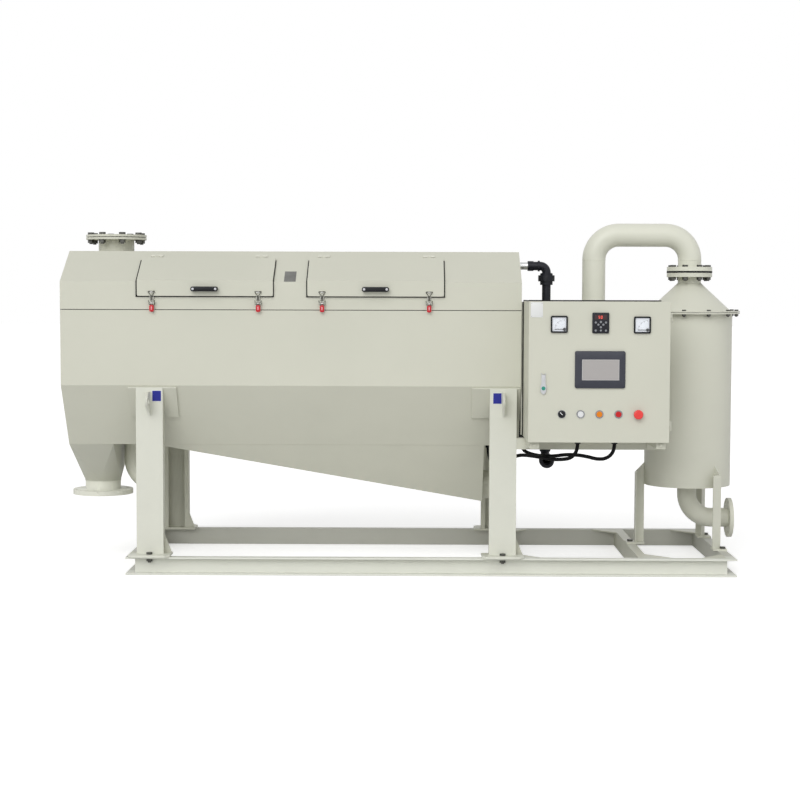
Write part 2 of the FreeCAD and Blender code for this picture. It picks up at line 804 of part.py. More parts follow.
def vent_blind_flange():
    face = V(vent_x, 0, vent_flange_z + vent_flange_t + gasket_t)
    return drilled_disc(face, UP, FLANGE_150, vent_flange_t, 0)


def gaskets():
    seam = box(body_left + 1, body_right - 1, 1 - body_half_depth, body_half_depth - 1,
               housing_top, cover_bottom)
    seam = seam.cut(box(body_left + seam_lip, body_right - seam_lip, -body_half_depth + seam_lip,
                        body_half_depth - seam_lip, housing_top, cover_bottom))
    vent = tube(V(vent_x, 0, vent_flange_z + vent_flange_t), UP, FLANGE_150[1] / 2 - 13,
                     FLANGE_150[3] / 2, gasket_t)
    neck = tube(V(tank_x, 0, neck_top_z), UP, FLANGE_100[1] / 2 - 11, FLANGE_100[3] / 2, gasket_t)
    tank = tube(V(tank_x, 0, tank_top_z), UP, tank_bolt_r - 8, tank_r, tank_gasket_t)
    inlet = tube(V(drum_inlet_face, 0, drum_z), RIGHT, FLANGE_100[1] / 2 - 11, FLANGE_100[3] / 2, gasket_t)
    return [seam, vent, neck, tank, inlet]


def flange_bolts():
    vent_grip = 2 * vent_flange_t + gasket_t
    vent_top = V(vent_x, 0, vent_flange_z + vent_grip)
    neck_grip = 2 * flange_t + gasket_t
    tank_grip = 2 * tank_flange_t + tank_gasket_t
    count, phase = flange_bolt_count, flange_phase
    bolts = bolt_ring(vent_top, DOWN, FLANGE_150[1], count, phase, 8, vent_grip)
    bolts += bolt_ring(V(tank_x, 0, neck_top_z + gasket_t + flange_t), DOWN, FLANGE_100[1], count, phase,
                       7, neck_grip)
    bolts += bolt_ring(V(tank_x, 0, tank_top_z + tank_gasket_t + tank_flange_t), DOWN, 2 * tank_bolt_r,
                       tank_bolt_count, tank_bolt_phase, 5, tank_grip)
    bolts += bolt_ring(V(drum_inlet_face + gasket_t + small_flange_t, 0, drum_z), LEFT, FLANGE_100[1],
                       count, phase,
                       7, 2 * small_flange_t + gasket_t)
    return bolts


def frame_bolts():
    leg_top = rail_height + foot_plate_t
    legs = [fastener(spot + UP * leg_top, DOWN, foot_bolt_r,
                     foot_plate_t + rail_flange_t) for spot in foot_bolt_spots()]
    tank_top = rail_height + tank_foot_t
    tank = [fastener(spot + UP * tank_top, DOWN, foot_bolt_r,
                     tank_foot_t + rail_flange_t) for spot in foot_bolts_of_tank()]
    return legs + tank


def filtrate_outlet_pipe():
    radius = FLANGE_125[3] / 2
    start = V(hopper_right, 0, filtrate_z)
    run = tube(start, RIGHT, radius, radius - pipe_wall, filtrate_length)
    disc = drilled_disc(V(hopper_right + filtrate_length, 0, filtrate_z), LEFT, FLANGE_125, small_flange_t,
                        radius - 1)
    return fuse([run, disc])


def drain_elbow():
    radius = FLANGE_80[3] / 2
    z = floor_z - drain_drop - drain_bend
    points = [V(drain_x, 0, floor_z), V(drain_x, 0, z), V(drain_x + drain_bend + small_flange_t, 0, z)]
    run = pipe(points, drain_bend, radius, radius - pipe_wall)
    disc = drilled_disc(points[-1], LEFT, FLANGE_80, small_flange_t, radius - 1)
    return fuse([run, disc])


def hinge_axis():
    return roof_point(lid_slope_length + hinge_above_lid, lid_face)


def hinge_starts(hatch):
    return [hatch[0] + hinge_inset, hatch[1] - hinge_inset - hinge_width]


def fixed_leaf(x0):
    """Cover half of a lid hinge: leaf, two outer knuckles and the pin."""
    y, z = hinge_axis()
    along = lid_slope_length + hinge_above_lid
    third = hinge_width / 3
    pieces = []
    for start in (x0, x0 + 2 * third):
        pieces.append(cylinder(V(start, y, z), RIGHT, hinge_barrel_r, third))
        pieces.append(prism_x([roof_point(along + 1), roof_point(along + 9), roof_point(along + 9, 4),
                               roof_point(along + 4.5, lid_face), roof_point(along, lid_face)],
                              start, start + third))
    pieces.append(prism_x([roof_point(along + 7), roof_point(along + 34), roof_point(along + 34, 3),
                           roof_point(along + 7, 3)], x0, x0 + hinge_width))
    pieces.append(cylinder(V(x0, y, z), RIGHT, hinge_pin_r, hinge_width))
    return fuse(pieces)


def lid_knuckle(x0):
    y, z = hinge_axis()
    third = hinge_width / 3
    start, length = x0 + third + hinge_gap, third - 2 * hinge_gap
    along = lid_slope_length + hinge_above_lid
    barrel = cylinder(V(start, y, z), RIGHT, hinge_barrel_r, length)
    arm = prism_x([roof_point(along - 12, lid_face - 3), roof_point(along - 3, lid_face - 4.5),
                   roof_point(along, lid_face), roof_point(along - 12, lid_face)], start, start + length)
    bore = cylinder(V(start - 1, y, z), RIGHT, hinge_pin_r + running_clearance, length + 2)
    return fuse([barrel, arm]), bore


def keeper(x):
    """Catch plate on a lid above a latch."""
    y = front_y - lid_face
    half = keeper_width / 2
    keeper_top_z = lid_bottom_z + keeper_height
    plate = prism_y([(x - half, keeper_top_z), (x - half, keeper_top_z - 8),
                     (x - half * 0.35, lid_bottom_z + 1),
                     (x + half * 0.35, lid_bottom_z + 1), (x + half, keeper_top_z - 8),
                     (x + half, keeper_top_z)],
                    y - 2, y)
    hook = box(x - half * 0.8, x + half * 0.8, y - 7, y - 2, keeper_top_z - 4, keeper_top_z)
    return fuse([plate, hook])


def hatch_lid(hatch, latches):
    x0, x1 = hatch
    skin = prism_x(hatch_band(lid_stand, lid_face, lid_bottom_z, lid_slope_length), x0, x1)
    skin = skin.common(rounded_front(x0, x1, lid_bottom_z, lid_corner_r))
    t = lid_sheet_t
    hollow = prism_x(hatch_band(lid_stand - 5, lid_face - t, lid_bottom_z + t, lid_slope_length - t),
                     x0 + t, x1 - t)
    hollow = hollow.common(rounded_front(x0 + t, x1 - t, lid_bottom_z + t, lid_corner_r - t))
    knuckles = [lid_knuckle(start) for start in hinge_starts(hatch)]
    solids = [skin.cut(hollow)] + [k for k, _ in knuckles] + [keeper(x) for x in latches]
    return fuse(solids).cut([bore for _, bore in knuckles])


def lid_handle(x):
    """Bow handle: bar with two feet, rounded outside."""
    face = front_y - lid_face
    half = handle_width / 2
    z0, z1 = handle_z - handle_height / 2, handle_z + handle_height / 2
    bow = box(x - half, x + half, face - handle_reach, face, z0, z1)
    corners = [edge for edge in bow.Edges if abs(edge.CenterOfMass.y - (face - handle_reach)) < 0.1]
    bow = bow.makeFillet(5, corners)
    gap = box(x - half + handle_foot, x + half - handle_foot, face - handle_reach + handle_bar_t, face + 1,
              z0 - 1, z1 + 1)
    return bow.cut(gap)


def latch_pivot(x):
    return V(x, front_y - latch_pivot_out, latch_pivot_z)


def latch_base(x):
    """Plate on the cover with two ears and the pivot pin."""
    half = latch_base_width / 2
    pivot = latch_pivot(x)
    plate = box(x - half, x + half, front_y - 3, front_y, pivot.z - latch_base_low,
                pivot.z + latch_base_high)
    pieces = [plate]
    for start in (x - half, x + half - 2.5):
        pieces.append(box(start, start + 2.5, pivot.y, front_y - 2, pivot.z - 6, pivot.z + 6))
        pieces.append(cylinder(V(start, pivot.y, pivot.z), RIGHT, 6, 2.5))
    pieces.append(cylinder(V(x - half, pivot.y, pivot.z), RIGHT, latch_pin_r, latch_base_width))
    return fuse(pieces)


def latch_lever(x):
    """Forked lever hanging from the pin, with its grip."""
    pivot = latch_pivot(x)
    half = grip_width / 2
    back = pivot.y + grip_t / 2
    pieces = []
    for start in (x - half, x + half - 2.5):
        pieces.append(cylinder(V(start, pivot.y, pivot.z), RIGHT, 5.5, 2.5))
        pieces.append(box(start, start + 2.5, pivot.y - 4, pivot.y + 4, pivot.z - grip_high - 2, pivot.z))
    grip = box(x - half, x + half, back - grip_t, back, pivot.z - grip_low, pivot.z - grip_high)
    pieces.append(grip.makeFillet(3.5, grip.Edges))
    bore = cylinder(V(x - half - 1, pivot.y, pivot.z), RIGHT, latch_pin_r + running_clearance,
                    grip_width + 2)
    return fuse(pieces).cut(bore)


def rod(start, end, radius):
    return cylinder(start, end - start, radius, (end - start).Length)


def latch_bail(x):
    """Wire loop on the latch pin, standing just below the keeper."""
    pivot = latch_pivot(x)
    top = V(x, front_y - 8, lid_bottom_z - bail_gap - bail_wire_r)
    eye = cylinder(pivot - V(4.7, 0, 0), RIGHT, 4, 9.4)
    pieces = [eye]
    ends = []
    for side in (-1, 1):
        foot = pivot + V(side * 3, 0, 3)
        shoulder = top + V(side * 8, 0, 0)
        pieces.append(rod(foot, shoulder, bail_wire_r))
        pieces.append(Part.makeSphere(bail_wire_r, shoulder))
        ends.append(shoulder)
    pieces.append(rod(ends[0], ends[1], bail_wire_r))
    bore = cylinder(pivot - V(6, 0, 0), RIGHT, latch_pin_r + running_clearance, 12)
    return fuse(pieces).cut(bore)


def drum_centre(x):
    return V(x, 0, drum_z)


def drum_screen():
    return tube(drum_centre(drum_left), RIGHT, screen_r, screen_r - screen_t,
                drum_right - 6 - cage_fit - drum_left)


def drum_cage():
    """Rings round the screen: end, riding and stiffener rings, with bars between the riding rings."""
    inner = screen_r + cage_fit
    head = fuse([tube(drum_centre(drum_right - 20), RIGHT, cage_r, inner, 20),
                 tube(drum_centre(drum_right - 6), RIGHT, cage_r, drum_inlet_r, 6)])
    solids = [tube(drum_centre(drum_left), RIGHT, cage_r - 2, inner, 50), head]
    solids += [tube(drum_centre(x - riding_width / 2), RIGHT, riding_r, inner,
                    riding_width) for x in riding_xs]
    solids += [tube(drum_centre(riding_xs[0] + n * stiffener_pitch - 4), RIGHT, cage_r, inner, 8)
               for n in range(1, stiffener_count + 1)]
    bar = box(riding_xs[0] + riding_width / 2, riding_xs[1] - riding_width / 2, -10, 10,
              drum_z + cage_r, drum_z + riding_r - 2)
    solids += [turned(bar, RIGHT, 360.0 * n / cage_bars, drum_centre(0)) for n in range(cage_bars)]
    return solids


def drum_flight():
    """Spiral strip inside the screen, wound round X."""
    outer = screen_r - screen_t - cage_fit
    length = drum_right - drum_left - 30
    path = Part.Wire(Part.makeHelix(flight_pitch, length, outer).Edges)
    corners = [V(outer - flight_height, 0, 0), V(outer, 0, 0), V(outer, 0, flight_t),
               V(outer - flight_height, 0, flight_t)]
    strip = path.makePipeShell([Part.makePolygon(corners + corners[:1])], True, True)
    strip.rotate(V(0, 0, 0), BACK, 90)
    strip.translate(drum_centre(drum_left + 5))
    return strip


def roller_shaft(y, end):
    centre = V(partition_x + partition_t + 5, y, roller_z)
    pieces = [cylinder(centre, RIGHT, roller_shaft_r, end - centre.x)]
    for x in riding_xs:
        pieces.append(cylinder(V(x - roller_width / 2, y, roller_z), RIGHT, roller_r, roller_width))
        pieces.append(cylinder(V(x - roller_width / 2 - 14, y, roller_z), RIGHT, roller_shaft_r + 8,
                               roller_width + 28))
    return fuse(pieces)


def roller_bearings():
    solids = []
    for y in (-roller_y, roller_y):
        for face, way in ((V(partition_x + partition_t, y, roller_z), RIGHT),
                          (V(body_right - sheet_t, y, roller_z), LEFT)):
            unit = fuse([cylinder(face, way, bearing_r, 12),
                         cylinder(face, way, bearing_r - 10, bearing_length)])
            bolts = [hexagon(spot, way, 6, 5) for spot in ring_points(face + way * 12, way, bearing_r - 7,
                                                                      4, 45)]
            bore = cylinder(face - way, way, roller_shaft_r + running_clearance, bearing_length + 2)
            solids.append(fuse([unit] + bolts).cut(bore))
    return solids


def motor_axis_x():
    return body_right + motor_wall_gap + motor_r


def gearbox():
    """Worm gearbox on the end wall, its hollow shaft on the drive roller shaft."""
    spot = drive_shaft_spot(body_right)
    x0, x1 = body_right + motor_wall_gap, body_right + motor_wall_gap + gearbox_width
    block = box(x0, x1, spot.y - gearbox_depth / 2, spot.y + gearbox_depth / 2,
                spot.z - worm_drop - gearbox_low + 10, spot.z + gearbox_high)
    block = block.makeFillet(14, [edge for edge in block.Edges if abs(edge.tangentAt(0).x) > 0.9])
    mount = cylinder(spot, RIGHT, motor_r, 10)
    boss = cylinder(V(x1 - 1, spot.y, spot.z), RIGHT, 40, 9)
    worm = V(motor_axis_x(), spot.y - gearbox_depth / 2 + 1, spot.z - worm_drop)
    adapter = cylinder(worm, FRONT, motor_r + 0, 13)
    bore = cylinder(spot - RIGHT, RIGHT, roller_shaft_r + running_clearance, gearbox_width + 30)
    return fuse([block, mount, boss, adapter]).cut(bore)


def drive_motor():
    spot = drive_shaft_spot(body_right)
    start = V(motor_axis_x(), spot.y - gearbox_depth / 2 - 12, spot.z - worm_drop)
    body = cylinder(start, FRONT, motor_r - 7, motor_length)
    pieces = [body, cylinder(start, FRONT, motor_r, 14),
              cylinder(start + FRONT * (motor_length - 14), FRONT, motor_r, 14 + fan_cover_length)]
    fin = box(-1.5, 1.5, -motor_length, 0, motor_r - 8, motor_r - 0.5)
    fin.translate(start)
    pieces += [turned(fin, FRONT, 20.0 * n, start) for n in range(18)]
    width, depth, height = terminal_box
    top = start.z + motor_r - 10
    y1 = start.y - 54
    pieces.append(box(start.x - width / 2, start.x + width / 2, y1 - depth, y1, top, top + height))
    return fuse(pieces)


def motor_cable_end():
    spot = drive_shaft_spot(body_right)
    width, depth, height = terminal_box
    return V(motor_axis_x(), spot.y - gearbox_depth / 2 - 12 - 54 - depth,
             spot.z - worm_drop + motor_r - 10 + height / 2)


def spray_bar():
    """Spray pipe with its nipple outside the casing, two hangers and the nozzles."""
    start = V(partition_x + partition_t + 8, spray_y, spray_z)
    run = cylinder(start, RIGHT, spray_r, nipple_end - start.x)
    bore = cylinder(start + RIGHT * 4, RIGHT, spray_r - 3, nipple_end - start.x)
    hangers = [cylinder(V(x, spray_y, spray_z), UP, 5, roof_z - sheet_t - spray_z) 
               for x in (drum_left + left_hanger_in, drum_right - right_hanger_in)]
    pipe_solid = fuse([run] + hangers).cut(bore)
    body = cylinder(start, RIGHT, spray_r, nipple_end - start.x)
    nozzle_xs = [drum_left + nozzle_first + nozzle_pitch * n for n in range(nozzle_count)]
    nozzles = [cylinder(V(x, spray_y, spray_z), DOWN, 7, spray_r + 6).cut(body) for x in nozzle_xs]
    return [pipe_solid] + nozzles


def wash_water_pipe():
    """Plastic pipe from the spray nipple down behind the cabinet to the water connection."""
    top_high = spray_z - wash_union_below
    top_low = top_high - wash_union_height
    collar_r = wash_pipe_r - 1
    upper = pipe([V(nipple_end, spray_y, spray_z), V(wash_x, spray_y, spray_z),
                  V(wash_x, spray_y, top_high - 8)],
                 wash_elbow_r, wash_pipe_r, wash_bore_r)
    sockets = [tube(V(nipple_end, spray_y, spray_z), RIGHT, wash_socket_r - 2, collar_r, 26),
               tube(V(wash_x - wash_elbow_r - 10, spray_y, spray_z), RIGHT, wash_socket_r, collar_r, 8),
               tube(V(wash_x, spray_y, spray_z - wash_elbow_r - 10), UP, wash_socket_r, collar_r, 8)]
    upper = fuse([upper] + sockets)
    mid = (top_low + top_high) / 2
    nut = fuse([tube(V(wash_x, spray_y, mid - 14), UP, wash_union_r, wash_bore_r, 28),
                tube(V(wash_x, spray_y, top_low), UP, wash_union_r - 9, wash_bore_r,
                     top_high - 8 - top_low)])
    end = V(wash_x, spray_y - wash_reach, wash_low_z)
    lower = pipe([V(wash_x, spray_y, top_low), V(wash_x, spray_y, wash_low_z), end],
                 wash_elbow_r, wash_pipe_r, wash_bore_r)
    rings = [tube(V(wash_x, spray_y, wash_low_z + wash_elbow_r + 4), UP, wash_socket_r, collar_r, 10),
             tube(V(wash_x, spray_y - wash_elbow_r - 4, wash_low_z), FRONT, wash_socket_r, collar_r, 10)]
    socket = tube(end, FRONT, wash_union_r - 4, wash_bore_r, wash_socket_length)
    seat = cylinder(end + FRONT * wash_stop_t, FRONT, wash_pipe_r + running_clearance, wash_socket_length)
    return [upper, nut, fuse([lower] + rings), socket.cut(seat)]


def drum_inlet_pipe():
    radius = FLANGE_100[3] / 2
    start = V(drum_inlet_start, 0, drum_z)
    run = tube(start, RIGHT, radius, radius - pipe_wall, drum_inlet_face - start.x)
    slots = [box(drum_inlet_start + 30 + 60 * n, drum_inlet_start + 70 + 60 * n, -20, 20,
                 drum_z - radius - 1, drum_z) for n in range(4)]
    disc = drilled_disc(V(drum_inlet_face, 0, drum_z), LEFT, FLANGE_100, small_flange_t, radius - 1)
    return fuse([run.cut(slots), disc])


def transfer_pipe():
    """Pipe from the tank neck over and down behind the cabinet to the drum inlet."""
    radius = FLANGE_100[3] / 2
    low_face = V(tank_x, 0, neck_top_z + gasket_t)
    end = V(drum_inlet_face + gasket_t, 0, drum_z)
    points = [low_face, V(tank_x, 0, transfer_top_z), V(transfer_x, 0, transfer_top_z),
              V(transfer_x, 0, drum_z), end]
    run = pipe(points, transfer_bend, radius, radius - pipe_wall)
    return fuse([run, drilled_disc(low_face, UP, FLANGE_100, flange_t, radius - 1),
                 drilled_disc(end, RIGHT, FLANGE_100, small_flange_t, radius - 1)])


def around_tank(outline):
    """Solid of revolution round the tank's axis from (radius, z) points."""
    face = Part.Face(Part.makePolygon([V(tank_x + r, 0, z) for r, z in outline + outline[:1]]))
    return face.revolve(V(tank_x, 0, 0), UP, 360)


def tank_flange_holes(z):
    centre = V(tank_x, 0, z)
    return [cylinder(spot, UP, 5.5, 4 * tank_flange_t)
            for spot in ring_points(centre, DOWN, tank_bolt_r, tank_bolt_count, tank_bolt_phase)]


def tank_leg():
    """Angle leg against the tank wall on the +X side, foot plate on the frame."""
    x0 = tank_x + tank_r - tank_wall
    x1 = tank_x + tank_r + tank_leg_size
    foot = rail_height + tank_foot_t
    web = prism_y([(x0, foot), (x1, foot), (x1, tank_leg_top - 52), (x0, tank_leg_top)],
                  -tank_leg_t / 2, tank_leg_t / 2)
    outer = prism_y([(x1 - tank_leg_t, foot), (x1, foot), (x1, tank_leg_top - 52),
                     (x1 - tank_leg_t, tank_leg_top - 46)],
                    -tank_leg_t / 2, tank_leg_size - tank_leg_t / 2)
    return fuse([web, outer])


def tank_foot_plates():
    left = box(tank_beam_x, tank_x - tank_r - 1, -tank_foot / 2, tank_foot / 2, rail_height,
               rail_height + tank_foot_t)
    plates = [left]
    for spot, _ in tank_feet()[1:]:
        side = math.copysign(1, spot.y)
        ys = sorted((spot.y - side * 40, spot.y + side * 45))
        plates.append(box(spot.x - 34, half_length, ys[0], ys[1], rail_height, rail_height + tank_foot_t))
    holes = [cylinder(spot + UP * (rail_height - 1), UP, foot_hole_r,
                      tank_foot_t + 2) for spot in foot_bolts_of_tank()]
    return [plate.cut(holes) for plate in plates]


def mixing_tank():
    """Tank shell, bottom plate, top flange, legs, bottom elbow with the inlet flange, and baffles."""
    ring_z = tank_top_z - tank_flange_t
    plate_z = tank_bottom_z + tank_bottom_t
    shell = tube(V(tank_x, 0, plate_z), UP, tank_r, tank_r - tank_wall, ring_z - plate_z)
    ring = tube(V(tank_x, 0, ring_z), UP, tank_flange_r, tank_r - tank_wall, tank_flange_t)
    bottom = cylinder(V(tank_x, 0, tank_bottom_z), UP, tank_r, tank_bottom_t)
    radius = FLANGE_80[3] / 2
    points = [V(tank_x, 0, tank_bottom_z), V(tank_x, 0, inlet_z), V(inlet_face_x, 0, inlet_z)]
    elbow = pipe(points, inlet_bend, radius, radius - pipe_wall)
    disc = drilled_disc(V(inlet_face_x, 0, inlet_z), LEFT, FLANGE_80, small_flange_t, radius - 1)
    axis = V(tank_x, 0, 0)
    legs = []
    for _, angle in tank_feet():
        straight = tank_leg() if angle > 0 else tank_leg().mirror(V(0, 0, 0), BACK)
        legs.append(turned(straight, UP, angle, axis))
    baffles = []
    for level in range(3):
        plate = box(tank_x - tank_r + 2, tank_x + 60, -tank_r, tank_r,
                    tank_bottom_z + 230 + 220 * level, tank_bottom_z + 234 + 220 * level)
        plate = plate.common(cylinder(V(tank_x, 0, tank_bottom_z), UP, tank_r - tank_wall, tank_top_z))
        baffles.append(turned(plate, UP, 180.0 * level, axis))
    bottom = bottom.cut(cylinder(V(tank_x, 0, tank_bottom_z - 1), UP, radius - pipe_wall,
                                 tank_bottom_t + 2))
    ring = ring.cut(tank_flange_holes(tank_top_z - 3 * tank_flange_t))
    legs = [fuse([each, foot]).cut(cylinder(V(tank_x, 0, 0), UP, tank_r, tank_top_z))
            for each, foot in zip(legs, tank_foot_plates())]
    return [shell, bottom, ring, fuse([elbow, disc])] + legs + baffles


def tank_cone():
    base = tank_top_z + tank_gasket_t
    outer_r = FLANGE_100[3] / 2
    wall = tank_wall * 1.3
    shell = around_tank([(cone_base_r, base + tank_flange_t), (tank_flange_r, base + tank_flange_t),
                         (tank_flange_r, base), (cone_base_r - wall, base), (cone_base_r - wall, base + 2),
                         (outer_r - pipe_wall, cone_top_z - 3), (outer_r - pipe_wall, neck_top_z),
                         (outer_r, neck_top_z), (outer_r, cone_top_z)])
    disc = drilled_disc(V(tank_x, 0, neck_top_z), DOWN, FLANGE_100, flange_t, outer_r - 1)
    return fuse([shell, disc]).cut(tank_flange_holes(base - tank_flange_t))


def door_local(x, z):
    return cabinet_x + x, cabinet_z + z


def cabinet_box():
    s = cabinet_sheet
    shell = box(cabinet_x, cabinet_right, box_front, cabinet_back, cabinet_z, cabinet_top)
    shell = shell.cut(box(cabinet_x + s, cabinet_right - s, box_front - 1, cabinet_back - s,
                          cabinet_z + s, cabinet_top - s))
    rim = box(cabinet_x, cabinet_right, box_front, box_front + s, cabinet_z, cabinet_top)
    rim = rim.cut(box(cabinet_x + 26, cabinet_right - 26, box_front - 1, box_front + 9, cabinet_z + 26,
                      cabinet_top - 26))
    collar = box(cabinet_x + 24, cabinet_right - 24, box_front - 10, box_front + 1, cabinet_z + 24,
                 cabinet_top - 24)
    collar = collar.cut(box(cabinet_x + 26, cabinet_right - 26, box_front - 11, box_front + 9,
                            cabinet_z + 26, cabinet_top - 26))
    leaves = []
    for z in door_hinge_zs:
        axis = V(cabinet_right + door_hinge_out, box_front - door_hinge_r - 1,
                 cabinet_z + z - door_hinge_height / 2)
        half = door_hinge_height / 2 - hinge_gap / 2
        barrel = cylinder(axis, UP, door_hinge_r, half)
        pin = cylinder(axis, UP, hinge_pin_r, door_hinge_height)
        plate = box(cabinet_right - 1, cabinet_right + 3, box_front, box_front + 26, axis.z, axis.z + half)
        web = box(cabinet_right + door_side_gap, cabinet_right + door_hinge_out, axis.y, box_front + 3,
                  axis.z, axis.z + half)
        leaves += [barrel, pin, plate, web]
    glands = [cylinder(V(x, y, cabinet_z - 1), UP, cable_r + 1, 5) for x, y in (control_gland, motor_gland)]
    return fuse([shell, rim, collar] + leaves).cut(glands)


def cabinet_internals():
    """Mounting plate on studs, with the drive, breakers, relays, terminals and ducts on it."""
    plate_y = cabinet_back - cabinet_sheet - 18
    x0, x1, z0, z1 = cabinet_x + 30, cabinet_right - 30, cabinet_z + 30, cabinet_top - 30
    plate = box(x0, x1, plate_y - 3, plate_y, z0, z1)
    studs = [cylinder(V(x, plate_y, z), BACK, 6, 18) for x in (x0 + 20, x1 - 20) for z in (z0 + 20,
                                                                                           z1 - 20)]
    face = plate_y - 3
    drive = box(x0 + 40, x0 + 150, face - 110, face, z1 - 230, z1 - 50)
    slots = [box(x0 + 50, x0 + 140, face - 111, face - 104, z1 - 90 - 10 * n,
                 z1 - 86 - 10 * n) for n in range(5)]
    devices = [fuse([plate] + studs), drive.cut(slots)]
    for n in range(7):
        low = x0 + 200 + 36 * n
        breaker = box(low, low + 34, face - 60, face, z1 - 150, z1 - 65)
        devices.append(fuse([breaker, box(low + 12, low + 22, face - 72, face - 59, z1 - 115, z1 - 95)]))
    for n in range(5):
        low = x0 + 200 + 52 * n
        devices.append(box(low, low + 45, face - 75, face, z1 - 290, z1 - 210))
    for n in range(16):
        low = x0 + 60 + 24 * n
        devices.append(box(low, low + 22, face - 45, face, z0 + 75, z0 + 125))
    for level in (z1 - 40, z1 - 195, z0 + 145, z0 + 20):
        devices.append(box(x0 + 10 if level != z1 - 195 else x0 + 180, x1 - 10, face - 50, face, level,
                           level + 26))
    return devices


def support_beam():
    """Square tube welded to the right front leg, with two arms under the cabinet."""
    x0 = right_leg_x + leg_width
    y0 = -web_y
    w = beam_wall
    beam = box(x0, beam_end, y0, y0 + beam_size, beam_z, beam_z + beam_size)
    beam = beam.cut(box(x0 - 1, beam_end - w, y0 + w, y0 + beam_size - w, beam_z + w,
                        beam_z + beam_size - w))
    pieces = [beam]
    for x in arm_xs:
        arm = box(x - arm_width / 2, x + arm_width / 2, cabinet_front + 32, y0, cabinet_z - arm_height,
                  cabinet_z)
        arm = arm.cut(box(x - arm_width / 2 + w, x + arm_width / 2 - w, cabinet_front + 32 + w, y0 - w,
                          cabinet_z - arm_height + w, cabinet_z - w))
        rise = box(x - arm_width / 2, x + arm_width / 2, y0 - 8, y0, beam_z + 6, cabinet_z - arm_height + 1)
        bolt = hexagon(V(x, cabinet_front + 32, cabinet_z - arm_height / 2), FRONT, 8, 5)
        pieces += [arm, rise, bolt]
    return fuse(pieces)


def gland(mouth, way):
    """Cable gland whose flange sits at mouth; the cable leaves along way."""
    nut = hexagon(mouth, way, gland_r, gland_length * 0.4)
    dome = cylinder(mouth + way * (gland_length * 0.4), way, gland_r * 0.82, gland_length * 0.6)
    bore = cylinder(mouth + way * (gland_length - gland_hold), way, cable_r + 1, gland_length)
    return fuse([nut, dome]).cut(bore)


def cable_glands():
    ends = [(V(control_gland[0], control_gland[1], cabinet_z), DOWN),
            (V(motor_gland[0], motor_gland[1], cabinet_z), DOWN),
            (V(probe_gland[0], probe_gland[1], floor_z), DOWN), (motor_cable_end(), FRONT)]
    return [gland(mouth, way) for mouth, way in ends]


def motor_cable():
    """From the rear gland under the cabinet, behind the right leg and up to the terminal box."""
    mouth = V(motor_gland[0], motor_gland[1], cabinet_z - gland_length + gland_hold)
    leg_edge = V(right_leg_x + leg_width, -web_y, beam_z)
    end = motor_cable_end() + FRONT * (gland_length - gland_hold)
    return cord("motor_cable", [mouth, mouth + V(0, 0, -24), mouth + V(-10, 2, -52), mouth + V(-35, 8, -73),
                                mouth + V(-72, 18, -77), mouth + V(-116, 31, -66),
                                leg_edge + V(253, -143, -10),
                                leg_edge + V(209, -117, -11), leg_edge + V(164, -83, -21),
                                leg_edge + V(119, -46, -26),
                                leg_edge + V(75, -5, -23), leg_edge + V(43, 43, -15),
                                leg_edge + V(31, 89, -2),
                                end + V(-50, -334, -120), end + V(-44, -289, -101), end + V(-35, -245, -78),
                                end + V(-25, -202, -52), end + V(-15, -160, -27), end + V(-7, -117, -8),
                                end + V(-2, -78, -1.5), end + V(0, -38, 0), end], cable_r)


def control_cable():
    """From the left gland under the cabinet, behind the right leg to the gland under the casing."""
    mouth = V(control_gland[0], control_gland[1], cabinet_z - gland_length + gland_hold)
    leg_edge = V(right_leg_x + leg_width, -web_y, beam_z)
    end = V(probe_gland[0], probe_gland[1], floor_z - gland_length + gland_hold)
    return cord("control_cable", [mouth, mouth + V(0, 0, -24), mouth + V(-9, 4, -52),
                                  mouth + V(-30, 15, -73),
                                  mouth + V(-63, 35, -80), leg_edge + V(151, -131, -32),
                                  leg_edge + V(109, -96, -27),
                                  leg_edge + V(72, -55, -25), leg_edge + V(41, -10, -25),
                                  leg_edge + V(20, 37, -29),
                                  end + V(112, -175, -32), end + V(85, -134, -48), end + V(59, -100, -64),
                                  end + V(37, -64, -78), end + V(16, -30, -72), end + V(4, -9, -49),
                                  end + V(0, 0, -22), end], cable_r)


def door_holes():
    """Cut-outs of the door: meters, keypad, screen and the button row."""
    y0, y1 = cabinet_front - 1, cabinet_front + cabinet_sheet + 1
    holes = []
    for mx, mz in meter_spots:
        x, z = door_local(mx, mz)
        holes.append(cylinder(V(x, y0, z), BACK, meter_size / 2 - 5, y1 - y0))
    for x0, z0, x1, z1 in (keypad_box, screen_box):
        (ax, az), (bx, bz) = door_local(x0, z0), door_local(x1, z1)
        holes.append(box(ax + 5, bx - 5, y0, y1, az + 5, bz - 5))
    for bx in (selector_x,) + button_xs + (stop_x,):
        x, z = door_local(bx, button_z)
        holes.append(cylinder(V(x, y0, z), BACK, button_r - 1, y1 - y0))
    return holes


def lock_axis():
    """Middle of the lock handle's pin."""
    x, z = door_local((lock_box[0] + lock_box[2]) / 2, lock_box[3] - lock_pin_drop)
    return V(x, cabinet_front - lock_lift - lock_t / 2, z)


def lock_boss():
    """Small block on the door that carries the lock handle's pin, and the lock case inside."""
    axis = lock_axis()
    start = axis - RIGHT * lock_boss_half
    boss = fuse([cylinder(start, RIGHT, lock_boss_r, 2 * lock_boss_half),
                 box(start.x, start.x + 2 * lock_boss_half, axis.y, cabinet_front + 1,
                     axis.z - lock_boss_r, axis.z + lock_boss_r)])
    bore = cylinder(start - RIGHT, RIGHT, lock_pin_r + running_clearance, 2 * lock_boss_half + 2)
    (ax, az), (bx, bz) = door_local(*lock_box[:2]), door_local(*lock_box[2:])
    case = box(ax, bx, cabinet_front + 1, cabinet_front + 20, az, bz)
    return fuse([boss.cut(bore), case])


